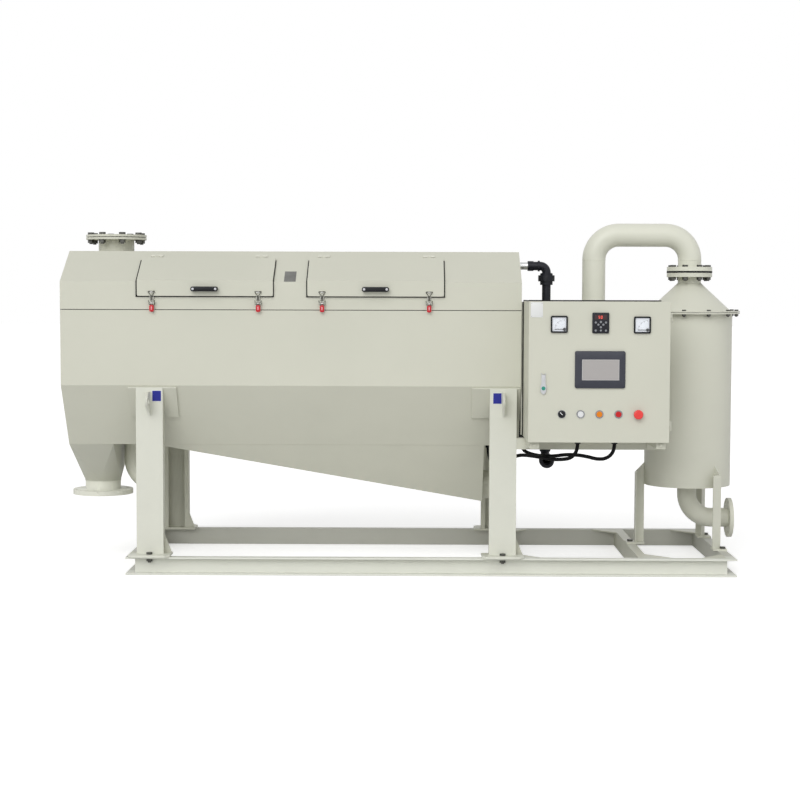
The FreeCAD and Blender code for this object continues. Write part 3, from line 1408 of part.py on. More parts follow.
def cabinet_door():
    s = cabinet_sheet
    shell = box(cabinet_x, cabinet_right, cabinet_front, door_back, cabinet_z, cabinet_top)
    shell = shell.cut(box(cabinet_x + s, cabinet_right - s, cabinet_front + s, door_back + 1,
                          cabinet_z + s, cabinet_top - s))
    knuckles, bores = [], []
    for z in door_hinge_zs:
        axis = V(cabinet_right + door_hinge_out, box_front - door_hinge_r - 1, cabinet_z + z)
        start = axis + UP * (hinge_gap / 2)
        length = door_hinge_height / 2 - hinge_gap / 2
        knuckles.append(cylinder(start, UP, door_hinge_r, length))
        knuckles.append(box(cabinet_right - 1, cabinet_right + door_hinge_out, door_back - 12,
                            door_back - 4,
                            start.z, start.z + length))
        knuckles.append(box(cabinet_right + 1, cabinet_right + door_hinge_out, door_back - 8, axis.y,
                            start.z, start.z + length))
        bores.append(cylinder(axis - UP, UP, hinge_pin_r + running_clearance, door_hinge_height))
    return fuse([shell, lock_boss()] + knuckles).cut(bores + door_holes())


def panel_meters():
    solids = []
    for mx, mz in meter_spots:
        x, z = door_local(mx, mz)
        half = meter_size / 2
        front = box(x - half, x + half, cabinet_front - 9, cabinet_front, z - half, z + half)
        recess = box(x - half + 5, x + half - 5, cabinet_front - 10, cabinet_front - 3, z - half + 5,
                     z + half - 5)
        back = cylinder(V(x, cabinet_front - 3, z), BACK, half - 6, 45)
        solids.append(fuse([front.cut(recess), back]))
    return solids


def needle_pivot(spot):
    x, z = door_local(*spot)
    return V(x + meter_size / 2 - 14, cabinet_front - 3, z - meter_size / 2 + 15)


def meter_needle(spot):
    """Needle lying to the left of its pivot, at zero on the scale."""
    pivot = needle_pivot(spot)
    hub = cylinder(pivot + V(0, -0.5, 0), FRONT, 4.5, 3)
    blade = prism_y([(pivot.x - 42, pivot.z - 0.5), (pivot.x - 42, pivot.z + 0.5), (pivot.x, pivot.z + 1.6),
                     (pivot.x, pivot.z - 1.6)], pivot.y - 2.6, pivot.y - 1.4)
    return fuse([hub, blade])


def drive_keypad():
    (x0, z0), (x1, z1) = door_local(*keypad_box[:2]), door_local(*keypad_box[2:])
    y = cabinet_front
    front = box(x0, x1, y - 10, y, z0, z1)
    front = front.makeFillet(3, [edge for edge in front.Edges if abs(edge.CenterOfMass.y - (y - 10)) < 0.1])
    back = box(x0 + 6, x1 - 6, y - 1, y + 28, z0 + 6, z1 - 6)
    window = box(x0 + 9, x1 - 9, y - 11, y - 8.5, z1 - 30, z1 - 9)
    return fuse([front, back]).cut(window)


def operator_screen():
    (x0, z0), (x1, z1) = door_local(*screen_box[:2]), door_local(*screen_box[2:])
    (dx0, dz0), (dx1, dz1) = door_local(*display_box[:2]), door_local(*display_box[2:])
    y = cabinet_front
    front = box(x0, x1, y - 8, y, z0, z1)
    front = front.makeFillet(3, [edge for edge in front.Edges if abs(edge.CenterOfMass.y - (y - 8)) < 0.1])
    back = box(x0 + 6, x1 - 6, y - 1, y + 42, z0 + 6, z1 - 6)
    display = box(dx0, dx1, y - 9, y - 7, dz0, dz1)
    return fuse([front, back]).cut(display)


def button_bezels():
    """Bezel rings of the button row, each with its body behind the door."""
    solids = []
    for bx in (selector_x,) + button_xs + (stop_x,):
        x, z = door_local(bx, button_z)
        face = V(x, cabinet_front, z)
        ring = tube(face, FRONT, bezel_r, button_r - 2 + button_gap, 3)
        barrel = tube(face, BACK, button_r - 1.2, button_r - 2 + button_gap, 20)
        block = box(x - 15, x + 15, cabinet_front + 20, cabinet_front + 52, z - 20, z + 20)
        solids.append(fuse([ring, barrel, block]))
    return solids


def button_face(bx):
    x, z = door_local(bx, button_z)
    return V(x, cabinet_front, z)


def selector_switch():
    face = button_face(selector_x)
    stem = cylinder(face + BACK * 14, FRONT, button_r - 2, 17 + button_gap)
    disc = cylinder(face + FRONT * (3 + button_gap), FRONT, bezel_r - 2, 3)
    lever = box(face.x - 4, face.x + 4, face.y - 17, face.y - 5, face.z - 12, face.z + 12)
    lever = turned(lever, BACK, 45, face)
    return fuse([stem, disc, lever])


def push_button(bx):
    face = button_face(bx)
    cap = cylinder(face + BACK * 14, FRONT, button_r - 2, 22)
    return cap.makeFillet(1.5, [edge for edge in cap.Edges if edge.CenterOfMass.y < face.y - 7.9])


def emergency_stop():
    face = button_face(stop_x)
    stem = cylinder(face + BACK * 14, FRONT, button_r - 2, 30)
    head = cylinder(face + FRONT * 12, FRONT, stop_r, 14)
    head = head.makeFillet(4, [edge for edge in head.Edges if edge.CenterOfMass.y < face.y - 25])
    return fuse([stem, head])


def door_lock():
    """Lock handle, slotted at its top for the boss, with the pin across the slot."""
    (x0, z0), (x1, z1) = door_local(*lock_box[:2]), door_local(*lock_box[2:])
    axis = lock_axis()
    half = lock_boss_half + 0.5
    plate = box(x0, x1, axis.y - lock_t / 2, axis.y + lock_t / 2, z0, z1)
    plate = plate.makeFillet(13, [edge for edge in plate.Edges if abs(edge.tangentAt(0).y) > 0.9])
    depth = lock_pin_drop + lock_boss_r + 0.6
    slot = box(axis.x - half, axis.x + half, axis.y - lock_t, axis.y + lock_t, z1 - depth, z1 + 1)
    pin = cylinder(axis - RIGHT * (half + 1), RIGHT, lock_pin_r, 2 * half + 2)
    return fuse([plate.cut(slot), pin])


def cover_fittings():
    leaves = [fixed_leaf(x) for hatch in (left_hatch, right_hatch) for x in hinge_starts(hatch)]
    return leaves + [latch_base(x) for x in latch_xs]


def lids():
    return {"hatch_left_lid": hatch_lid(left_hatch, latch_xs[:2]),
            "hatch_right_lid": hatch_lid(right_hatch, latch_xs[2:]),
            "hatch_left_handle": lid_handle(left_handle_x),
            "hatch_right_handle": lid_handle(right_handle_x)}


def latches():
    nodes = {}
    for number, x in enumerate(latch_xs, 1):
        nodes["latch_lever_%d" % number] = latch_lever(x)
        nodes["latch_bail_%d" % number] = latch_bail(x)
    return nodes


def front_legs():
    return [leg(left_leg_x, left_saddle_shift), leg(right_leg_x, right_saddle_shift)]


def build():
    nodes = {
        "base_rails": base_rails(),
        "base_cross_members": base_cross_members(),
        "front_legs": front_legs(),
        "rear_legs": [mirror_y(each) for each in front_legs()],
        "fasteners": frame_bolts() + flange_bolts(),
        "lower_housing": lower_housing(),
        "filtrate_hopper": filtrate_hopper(),
        "sludge_chute": sludge_chute(),
        "partition_wall": partition_wall(),
        "upper_cover": upper_cover(),
        "vent_blind_flange": vent_blind_flange(),
        "gaskets": gaskets(),
        "filtrate_outlet_pipe": filtrate_outlet_pipe(),
        "drain_elbow": drain_elbow(),
        "hinge_leaves_and_latch_bases": cover_fittings(),
        "roller_bearings": roller_bearings(),
        "gearbox": gearbox(),
        "drive_motor": drive_motor(),
        "spray_bar": spray_bar(),
        "wash_water_pipe": wash_water_pipe(),
        "drum_inlet_pipe": drum_inlet_pipe(),
        "transfer_pipe": transfer_pipe(),
        "mixing_tank": mixing_tank(),
        "tank_cone": tank_cone(),
        "cabinet_box": cabinet_box(),
        "cabinet_internals": cabinet_internals(),
        "cabinet_support_beam": support_beam(),
        "cable_glands": cable_glands(),
        "motor_cable": motor_cable(),
        "control_cable": control_cable(),
        "drum_screen": drum_screen(),
        "drum_cage": drum_cage(),
        "drum_flight": drum_flight(),
        "drive_roller_shaft": roller_shaft(roller_y, body_right + gearbox_width + 10),
        "idler_roller_shaft": roller_shaft(-roller_y, body_right - 12),
        "cabinet_door": cabinet_door(),
        "door_lock": door_lock(),
        "panel_meters": panel_meters(),
        "voltmeter_needle": meter_needle(meter_spots[0]),
        "ammeter_needle": meter_needle(meter_spots[1]),
        "drive_keypad": drive_keypad(),
        "operator_screen": operator_screen(),
        "button_bezels": button_bezels(),
        "selector_switch": selector_switch(),
        "button_white": push_button(button_xs[0]),
        "button_orange": push_button(button_xs[1]),
        "button_red": push_button(button_xs[2]),
        "emergency_stop": emergency_stop(),
    }
    nodes.update(lids())
    nodes.update(latches())
    return nodes


def main():
    os.makedirs("parts", exist_ok=True)
    for name, made in build().items():
        solids = made if isinstance(made, list) else [made]
        shape = Part.makeCompound(solids) if len(solids) > 1 else solids[0]
        print(name, "solids", len(shape.Solids), "valid", shape.isValid(), "volume", round(shape.Volume))
        shape.exportStep("parts/%s.step" % name)


main()
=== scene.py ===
import json
import math

import bmesh
import bpy
from mathutils import Matrix, Vector


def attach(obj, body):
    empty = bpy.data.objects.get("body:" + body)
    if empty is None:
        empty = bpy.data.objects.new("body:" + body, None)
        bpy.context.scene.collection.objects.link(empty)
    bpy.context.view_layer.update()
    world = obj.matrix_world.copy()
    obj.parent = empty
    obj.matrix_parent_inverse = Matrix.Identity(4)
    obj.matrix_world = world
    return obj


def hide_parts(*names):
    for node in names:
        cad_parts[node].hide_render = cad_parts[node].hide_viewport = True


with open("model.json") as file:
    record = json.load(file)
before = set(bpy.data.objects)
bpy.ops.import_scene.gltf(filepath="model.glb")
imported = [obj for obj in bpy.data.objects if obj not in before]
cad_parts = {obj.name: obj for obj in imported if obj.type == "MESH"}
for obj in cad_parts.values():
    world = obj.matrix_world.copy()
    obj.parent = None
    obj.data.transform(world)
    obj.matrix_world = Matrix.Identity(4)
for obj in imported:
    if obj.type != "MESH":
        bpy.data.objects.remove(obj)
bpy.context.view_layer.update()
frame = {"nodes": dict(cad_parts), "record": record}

# Lengths below are in millimetres in the machine's frame, and mm() turns them into metres.
MM = 0.001
SAME_POINT = 1e-6           # metres between points that are merged
HAIR = 0.05                 # keeps two faces out of one plane
CREASE = math.radians(30)   # edges sharper than this stay hard
RIGHT, FRONT, BACK, UP = (1, 0, 0), (0, -1, 0), (0, 1, 0), (0, 0, 1)

# casing
front_y = -450.0
upper_knee_z = 1303.0
roof_half_depth = 225.0
roof_z = 1443.0
slope = math.hypot(-front_y - roof_half_depth, roof_z - upper_knee_z)
slope_run = (-front_y - roof_half_depth) / slope
slope_rise = (roof_z - upper_knee_z) / slope
leg_face_y = -457.0

# sludge chute
body_left = -1650.0
floor_z, floor_half = 564.0, 273.0
chute_x, chute_width = -1545.0, 202.0
neck_z, neck_r = 372.0, 82.5

# hatches and what sits on them
hatches = {"left_hatch": (-1306.0, -704.0), "right_hatch": (-551.0, 53.0)}
lid_bottom_z = 1240.0
lid_slope_length = 190.0
lid_face = 13.0
seal_height = 3.5
# seal widths at the lids' left and right edges, which also take in painted shade in the gap
seal_and_shade_widths = {"left_hatch": (7.0, 3.8), "right_hatch": (5.5, 5.0)}
latch_xs = (-1241.0, -769.0, -486.0, -12.0)
handle_xs = {"left_hatch": -1005.5, "right_hatch": -249.5}
handle_z, handle_reach, handle_screw = 1271.0, 28.0, 50.0

# cabinet; places on its door are measured from the door's lower left corner
cabinet_x, cabinet_z, cabinet_size = 408.0, 622.0, 600.0
cabinet_front = -775.0
door_back = -753.0
box_front = -749.0
box_back = -400.0
meter_spots = {"voltmeter": (128.0, 503.0), "ammeter": (480.0, 501.0)}
meter_half = 36.0
pivot_in, pivot_up = 14.0, 15.0
keypad_box = (268.0, 465.0, 339.0, 553.0)
display_box = (226.0, 266.0, 384.0, 354.0)
screen_box = (196.0, 232.0, 410.0, 390.0)
lock_middle_x, lock_low_z, lock_high_z = 63.0, 205.0, 296.0
selector_x, button_z = 142.0, 121.0
selector_turn = Matrix.Rotation(math.radians(-45), 4, "Y")

# drum
drum_z = 1010.0
screen_r = 348.0

# pipes
tank_x, riser_x = 1211.0, 763.0
wash_x, wash_y = 533.0, -110.0

# cables: routes from the gland to the far end
cable_r = 8.0
motor_route = [
    (791, -650, 614), (791, -650, 590), (781, -648, 562), (756, -642, 541), (719, -632, 537),
    (675, -619, 548), (632, -600, 553), (588, -574, 552), (543, -540, 542), (498, -503, 537),
    (454, -462, 540), (422, -414, 548), (410, -368, 561), (412, -321.8, 577.3), (418, -276.8, 596.3),
    (427, -232.8, 619.3), (437, -189.8, 645.3), (447, -147.8, 670.3), (455, -104.8, 689.3),
    (460, -65.8, 695.8), (462, -25.8, 697.3), (462, 12.2, 697.3)]
control_route = [
    (631, -650, 614), (631, -650, 590), (622, -646, 562), (601, -635, 541), (568, -615, 534),
    (530, -588, 531), (488, -553, 536), (451, -512, 538), (420, -467, 538), (399, -420, 534),
    (377, -375, 524), (350, -334, 508), (324, -300, 492), (302, -264, 478), (281, -230, 484),
    (269, -209, 507), (265, -200, 534), (265, -200, 556)]


def mm(x, y, z):
    return Vector((x, y, z)) * MM


def on_door(x0, z0, x1, z1):
    """Area (left, right, low, high) on the cabinet door."""
    return cabinet_x + x0, cabinet_x + x1, cabinet_z + z0, cabinet_z + z1


def shrunk(area, by):
    left, right, low, high = area
    return left + by, right - by, low + by, high - by


# ---- materials

class Socket:
    """An output socket of a finish. Arithmetic on it adds Math nodes."""

    def __init__(self, finish, output):
        self.finish = finish
        self.output = output

    def _math(self, operation, first, second=0.0):
        return self.finish.add("ShaderNodeMath", {"operation": operation}, {0: first, 1: second})

    def __add__(self, other):
        return self._math("ADD", self, other)

    __radd__ = __add__

    def __sub__(self, other):
        return self._math("SUBTRACT", self, other)

    def __rsub__(self, other):
        return self._math("SUBTRACT", other, self)

    def __mul__(self, other):
        return self._math("MULTIPLY", self, other)

    __rmul__ = __mul__

    def __truediv__(self, other):
        return self._math("DIVIDE", self, other)

    def __gt__(self, other):
        return self._math("GREATER_THAN", self, other)

    def __lt__(self, other):
        return self._math("LESS_THAN", self, other)

    def power(self, exponent):
        return self._math("POWER", self, exponent)

    def fraction(self):
        return self._math("FRACT", self)

    def angle(self, other):
        return self._math("ARCTAN2", self, other)


class Finish:
    """A node material with one Principled shader."""

    def __init__(self, name, **constants):
        self.material = bpy.data.materials.new(name)
        self.material.use_nodes = True
        self.tree = self.material.node_tree
        self.tree.nodes.clear()
        self.shader = self.tree.nodes.new("ShaderNodeBsdfPrincipled")
        end = self.tree.nodes.new("ShaderNodeOutputMaterial")
        self.tree.links.new(self.shader.outputs["BSDF"], end.inputs["Surface"])
        self.surface(**constants)
        self.position = self.add("ShaderNodeTexCoord", {}, {}, "Object")

    def add(self, kind, settings, inputs, output=0):
        """Adds a node: its settings first, then the values or links of its sockets."""
        node = self.tree.nodes.new(kind)
        for name, value in settings.items():
            setattr(node, name, value)
        for name, value in inputs.items():
            self.feed(node.inputs[name], value)
        return Socket(self, node.outputs[output])

    def feed(self, entry, value):
        if isinstance(value, Socket):
            self.tree.links.new(value.output, entry)
        else:
            entry.default_value = value

    def surface(self, **sockets):
        for name, value in sockets.items():
            self.feed(self.shader.inputs[name.replace("_", " ")], value)
        return self

    def noise(self, scale, detail=3.0, roughness=0.5, place=None):
        inputs = {"Vector": place or self.position, "Scale": scale, "Detail": detail, "Roughness": roughness}
        return self.add("ShaderNodeTexNoise", {}, inputs, "Fac")

    def stretched(self, x, y, z):
        """Position scaled along each axis, for brushed or streaked patterns."""
        return self.add("ShaderNodeVectorMath", {"operation": "MULTIPLY"}, {0: self.position, 1: (x, y, z)})

    def axis(self, name):
        return self.add("ShaderNodeSeparateXYZ", {}, {0: self.position}, name)

    def between(self, low, high, value):
        """Value taken from 0 at low to 1 at high."""
        return self.add("ShaderNodeMapRange", {}, {"Value": value, "From Min": low, "From Max": high})

    def blend(self, mask, first, second):
        """Colour that goes from the first to the second with the mask."""
        first, second = (tone if isinstance(tone, Socket) else (*tone, 1.0) for tone in (first, second))
        return self.add("ShaderNodeMix", {"data_type": "RGBA"}, {0: mask, 6: first, 7: second}, 2)

    def bump(self, height, distance):
        return self.add("ShaderNodeBump", {}, {"Height": height, "Distance": distance}, "Normal")


DUST = (0.27, 0.25, 0.20)


def painted(name, colour, shade, roughness=0.42, peel=0.00012, lit_tone=None, side=None, limit=0.0):
    """Sprayed paint: faint cloudiness, orange peel and a little dust towards the floor.

    Where a lit tone is given, it shows below the limit along one side's axis: painted light on the part that
    faces the lamps, over the paint's own colour.
    """
    paint = Finish(name, Specular_IOR_Level=0.35)
    cloud = paint.between(0.35, 0.65, paint.noise(1.7, 4.0))
    tone = paint.blend(cloud, colour, shade)
    if lit_tone:
        # painted light: the lit tone stands for the light falling on that part
        tone = paint.blend(paint.axis(side) < limit, tone, lit_tone)
    grime = paint.noise(9.0, 6.0, 0.65)
    low = paint.between(1.1, 0.0, paint.axis("Z"))
    dirty = paint.between(0.45, 0.8, grime) * low * 0.06
    grain = paint.noise(260.0, 2.0)
    return paint.surface(Base_Color=paint.blend(dirty, tone, DUST),
                         Roughness=roughness + 0.10 * grime - 0.05,
                         Normal=paint.bump(grain, peel)).material


def metal(name, colour, worn, roughness=0.32, stretch=(1.0, 1.0, 1.0), scale=90.0):
    """Bare metal with fine marks along one direction."""
    steel = Finish(name, Metallic=1.0)
    marks = steel.noise(scale, 4.0, 0.6, steel.stretched(*stretch))
    stain = steel.between(0.4, 0.75, steel.noise(14.0, 4.0))
    return steel.surface(Base_Color=steel.blend(stain, colour, worn), Roughness=roughness + 0.22 * marks,
                         Normal=steel.bump(marks, 0.00006)).material


def moulded(name, colour, roughness=0.45, grain=0.00005, coat=0.0, tint=0.8, specular=0.5):
    """Moulded plastic or rubber with a fine texture and uneven gloss."""
    plastic = Finish(name, Coat_Weight=coat, Coat_Roughness=0.12, Specular_IOR_Level=specular)
    speck = plastic.noise(900.0, 2.0)
    rub = plastic.noise(35.0, 4.0)
    darker = tuple(channel * tint for channel in colour)
    return plastic.surface(Base_Color=plastic.blend(rub, colour, darker),
                           Roughness=roughness + 0.12 * rub - 0.06,
                           Normal=plastic.bump(speck, grain)).material


def woven_screen(name):
    """Drum screen: punched sheet, its holes in staggered rows round the drum."""
    pitch = 0.0105                      # metres from hole to hole
    hole_size, rim_size = 0.34, 0.42    # parts of the pitch
    steel = Finish(name, Metallic=1.0)
    x, y, z = (steel.axis(side) for side in "XYZ")
    row = (z - drum_z * MM).angle(y) * (screen_r * MM) / pitch
    stagger = (row * 0.5).fraction() > 0.5
    across = (x / pitch + stagger * 0.5).fraction() - 0.5
    along = row.fraction() - 0.5
    radius = (across * across + along * along).power(0.5)
    hole = radius < hole_size
    rim = steel.between(rim_size, hole_size, radius)
    return steel.surface(Base_Color=steel.blend(rim, (0.52, 0.53, 0.53), (0.30, 0.31, 0.31)),
                         Roughness=0.30 + 0.2 * steel.noise(60.0), Alpha=1.0 - hole,
                         Normal=steel.bump(rim, 0.0004)).material


def cabinet_devices(name):
    """Devices on the mounting plate: their colours go by height and place, in metres."""
    plate_face, relay_face, breaker_face, drive_face = -0.5485, -0.61, -0.6075, -0.60
    drive_right, drive_low = 0.588, 0.960
    row_left = 0.638
    plastic = Finish(name)
    x, y, z = (plastic.axis(side) for side in "XYZ")
    speck = plastic.noise(700.0, 2.0)
    tone = plastic.blend(y > plate_face, (0.74, 0.75, 0.73), (0.62, 0.60, 0.50))
    terminals = (z > 0.727) * (z < 0.777) * (y < plate_face)
    striped = (x / 0.096).fraction() > 0.75
    tone = plastic.blend(terminals, tone, plastic.blend(striped, (0.45, 0.47, 0.46), (0.16, 0.36, 0.12)))
    drive = (x < drive_right) * (z > drive_low) * (y < drive_face)
    tone = plastic.blend(drive, tone, (0.12, 0.13, 0.14))
    relays = (z > 0.902) * (z < 0.982) * (x > row_left) * (y < relay_face)
    tone = plastic.blend(relays, tone, (0.10, 0.11, 0.12))
    toggles = (z > 1.070) * (z < 1.100) * (x > row_left) * (y < breaker_face)
    tone = plastic.blend(toggles, tone, (0.05, 0.12, 0.40))
    return plastic.surface(Base_Color=tone, Roughness=0.42 + 0.1 * speck,
                           Normal=plastic.bump(speck, 0.00005)).material


def dial_paper(name):
    """White dial card."""
    card = Finish(name)
    speck = card.noise(300.0, 2.0)
    return card.surface(Base_Color=card.blend(speck, (0.90, 0.93, 0.97), (0.84, 0.88, 0.94)),
                        Roughness=0.55, Normal=card.bump(speck, 0.00002)).material


def clear_pane(name):
    """Clear meter window, a little smeared."""
    pane = Finish(name, Specular_IOR_Level=0.6, Base_Color=(0.9, 0.92, 0.94, 1.0))
    smear = pane.noise(12.0)
    return pane.surface(Roughness=0.05 + 0.08 * smear, Alpha=0.03 + 0.04 * smear).material


def screen_glass(name):
    """Operator display, switched off, with a faint sheen across it."""
    glass = Finish(name, Coat_Weight=0.6, Coat_Roughness=0.08)
    sheen = glass.between(0.6, 0.8, glass.axis("X") + 0.4 * glass.axis("Z") - 0.2)
    speck = glass.noise(500.0, 2.0)
    return glass.surface(Base_Color=glass.blend(sheen, (0.47, 0.44, 0.41), (0.40, 0.38, 0.37)),
                         Roughness=0.35 + 0.1 * speck).material


def lit_digits(name):
    """Red display segments that glow."""
    led = Finish(name, Emission_Strength=1.2)
    flicker = led.noise(400.0, 2.0)
    return led.surface(Base_Color=led.blend(flicker, (0.7, 0.05, 0.04), (0.5, 0.03, 0.03)),
                       Emission_Color=led.blend(flicker, (1.0, 0.16, 0.10), (0.8, 0.1, 0.08)),
                       Roughness=0.4 + 0.1 * flicker).material


ALONG_X, ROUND_X = (0.15, 1.0, 1.0), (1.0, 0.1, 0.1)   # how the marks of brushed and turned metal stretch

FINISHES = {
    "machine_paint": painted("machine_paint", (0.640, 0.640, 0.545), (0.615, 0.618, 0.525)),
    "motor_paint": painted("motor_paint", (0.012, 0.013, 0.015), (0.018, 0.019, 0.021), 0.40),
    "zinc_steel": metal("zinc_steel", (0.52, 0.52, 0.50), (0.36, 0.35, 0.32), 0.34),
    "stainless_steel": metal("stainless_steel", (0.58, 0.59, 0.59), (0.47, 0.47, 0.46), 0.26, ALONG_X),
    "roller_steel": metal("roller_steel", (0.50, 0.51, 0.52), (0.38, 0.38, 0.38), 0.30, ROUND_X),
    "bearing_iron": painted("bearing_iron", (0.020, 0.026, 0.036), (0.028, 0.034, 0.044), 0.5, 0.0004),
    "black_plastic": moulded("black_plastic", (0.012, 0.013, 0.016), 0.42, specular=0.28),
    "gasket_rubber": moulded("gasket_rubber", (0.012, 0.012, 0.012), 0.7, 0.0001, specular=0.2),
    "cable_rubber": moulded("cable_rubber", (0.006, 0.006, 0.007), 0.5, 0.00008, specular=0.12),
    "device_plastic": cabinet_devices("device_plastic"),
    "meter_plastic": moulded("meter_plastic", (0.008, 0.009, 0.012), 0.40, specular=0.2),
    "needle_paint": moulded("needle_paint", (0.015, 0.015, 0.016), 0.5),
    "dark_plastic": moulded("dark_plastic", (0.020, 0.021, 0.027), 0.42, specular=0.25),
    "screen_plastic": moulded("screen_plastic", (0.050, 0.053, 0.070), 0.42, specular=0.3),
    "bezel_chrome": metal("bezel_chrome", (0.34, 0.35, 0.36), (0.26, 0.27, 0.28), 0.16),
    "white_plastic": moulded("white_plastic", (0.78, 0.79, 0.80), 0.25, coat=0.5, tint=0.93),
    "orange_plastic": moulded("orange_plastic", (0.84, 0.24, 0.005), 0.34, coat=0.15, tint=0.85,
                              specular=0.3),
    "red_plastic": moulded("red_plastic", (0.60, 0.012, 0.015), 0.36, coat=0.1, tint=0.85, specular=0.3),
    "grip_red": moulded("grip_red", (0.60, 0.030, 0.040), 0.40, tint=0.85, specular=0.3),
}
drum_cloth = woven_screen("drum_screen_sheet")
# painted reflection: near-black copies of the zinc steel for bolts and latch wires, standing for dark
# reflections
bolt_steel_dark_reflection = metal("bolt_steel_dark_reflection", (0.115, 0.115, 0.105), (0.060, 0.060, 0.055), 0.30, scale=160.0)
wire_steel_dark_reflection = metal("wire_steel_dark_reflection", (0.115, 0.115, 0.10), (0.07, 0.07, 0.065), 0.28, scale=160.0)
handle_black = moulded("handle_black", (0.010, 0.011, 0.013), 0.40, specular=0.25)
pipe_black = moulded("pipe_black", (0.010, 0.011, 0.017), 0.42, specular=0.28)
# painted light: a lighter copy of the machine paint for the hinge leaves and latch bases
lit_hinge_paint = painted("lit_hinge_paint", (0.70, 0.70, 0.61), (0.66, 0.66, 0.57), 0.40)
# painted light: a lighter copy of the machine paint for the transfer pipe, its welds and the drain elbow
lit_pipe_paint = painted("lit_pipe_paint", (0.740, 0.745, 0.640), (0.715, 0.720, 0.620), 0.34)
# painted light: the legs' front faces get a lighter tone than the paint behind them
lit_front_leg_paint = painted("lit_front_leg_paint", (0.625, 0.627, 0.535), (0.605, 0.608, 0.518),
                    lit_tone=(0.695, 0.702, 0.620), side="Y", limit=-0.4545)
# painted light and shade: the rails behind get a darker paint tone, the front faces a lighter one
rail_paint_shaded_back_lit_front = painted("rail_paint_shaded_back_lit_front", (0.600, 0.602, 0.540), (0.580, 0.582, 0.525),
                     lit_tone=(0.735, 0.745, 0.675), side="Y", limit=-0.410)
# painted light and shade: the chute's cone gets a darker paint tone, its neck and flange a lighter one
chute_paint_shaded_cone_lit_neck = painted("chute_paint_shaded_cone_lit_neck", (0.600, 0.604, 0.520), (0.580, 0.584, 0.500),
                      lit_tone=(0.740, 0.745, 0.650), side="Z", limit=0.3715)
# painted light: a lighter copy of the machine paint for the mixing tank and its cone
lit_tank_paint = painted("lit_tank_paint", (0.680, 0.682, 0.585), (0.655, 0.658, 0.565), 0.40)
silver_plastic = moulded("silver_plastic", (0.62, 0.63, 0.65), 0.3, coat=0.3, tint=0.9)
stop_red = moulded("stop_red", (0.86, 0.045, 0.040), 0.3, coat=0.3, tint=0.9)
plate_blue = painted("plate_blue", (0.014, 0.020, 0.27), (0.012, 0.018, 0.24), 0.35)
plate_white = painted("plate_white", (0.80, 0.81, 0.80), (0.74, 0.75, 0.74), 0.4)
plate_grey = metal("plate_grey", (0.22, 0.22, 0.21), (0.16, 0.16, 0.15), 0.40, ROUND_X)
key_grey = moulded("key_grey", (0.27, 0.28, 0.30), 0.4)
window_dark = moulded("window_dark", (0.060, 0.034, 0.038), 0.30, specular=0.3)
frame_grey = moulded("frame_grey", (0.52, 0.51, 0.50), tint=0.9)
# painted highlight: pink for the light strip down the red latch grips
painted_grip_highlight = moulded("painted_grip_highlight", (0.86, 0.40, 0.42), 0.30, tint=0.92)
lock_green = moulded("lock_green", (0.02, 0.30, 0.22), 0.35)
dial_card = dial_paper("dial_card")
meter_glass = clear_pane("meter_glass")
display_glass = screen_glass("display_glass")
red_digits = lit_digits("red_digits")


# ---- CAD nodes

def dress_nodes():
    """Gives each node its slot's finish, or a finish of its own."""
    slots = {part["node"]: part["material_slot"] for part in frame["record"]["subparts"]}
    for name, node in frame["nodes"].items():
        node.data.materials.clear()
        node.data.materials.append(FINISHES[slots[name]])
    # several of these are lighter, darker and dark-reflection copies of the slots' finishes: painted light
    # and shade
    special = {"drum_screen": drum_cloth, "emergency_stop": stop_red, "fasteners": bolt_steel_dark_reflection,
               "wash_water_pipe": pipe_black, "hinge_leaves_and_latch_bases": lit_hinge_paint,
               "transfer_pipe": lit_pipe_paint, "drain_elbow": lit_pipe_paint, "front_legs": lit_front_leg_paint,
               "base_rails": rail_paint_shaded_back_lit_front, "mixing_tank": lit_tank_paint, "tank_cone": lit_tank_paint}
    for name, finish in special.items():
        frame["nodes"][name].data.materials[0] = finish


def edged_copy(name, body):
    """Merged copy of a sheet-metal node with its long bends and edges rounded, in the node's place."""
    edge, shortest, flat, bend = 2.0, 24.0, math.radians(1.0), math.radians(16.0)
    piece = bpy.data.objects.new(name + "_sheet", frame["nodes"][name].data.copy())
    bpy.context.scene.collection.objects.link(piece)
    shape = bmesh.new()
    shape.from_mesh(piece.data)
    bmesh.ops.remove_doubles(shape, verts=shape.verts, dist=SAME_POINT)
    bmesh.ops.dissolve_limit(shape, angle_limit=flat, verts=shape.verts, edges=shape.edges)
    bends = [line for line in shape.edges if len(line.link_faces) == 2
             and line.calc_length() > shortest * MM and line.calc_face_angle() > bend]
    bmesh.ops.bevel(shape, geom=bends, offset=edge * MM, segments=3, profile=0.5, affect="EDGES",
                    material=-1, clamp_overlap=True)
    for face in shape.faces:
        face.smooth = True
    shape.to_mesh(piece.data)
    shape.free()
    piece.data.set_sharp_from_angle(angle=CREASE)
    even = piece.modifiers.new("even_faces", "WEIGHTED_NORMAL")
    even.keep_sharp = True
    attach(piece, body)
    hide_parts(name)


# ---- shapes made with bmesh operators

def finish_piece(name, shape, body, slot, finish=None):
    """Turns a bmesh in metres into a piece that rides on a body, in its slot's finish or its own."""
    bmesh.ops.remove_doubles(shape, verts=shape.verts, dist=SAME_POINT)
    bmesh.ops.recalc_face_normals(shape, faces=shape.faces)
    mesh = bpy.data.meshes.new(name)
    for face in shape.faces:
        face.smooth = True
    shape.to_mesh(mesh)
    shape.free()
    mesh.set_sharp_from_angle(angle=CREASE)
    piece = bpy.data.objects.new(name, mesh)
    bpy.context.scene.collection.objects.link(piece)
    mesh.materials.append(finish or FINISHES[slot])
    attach(piece, body)
    return piece


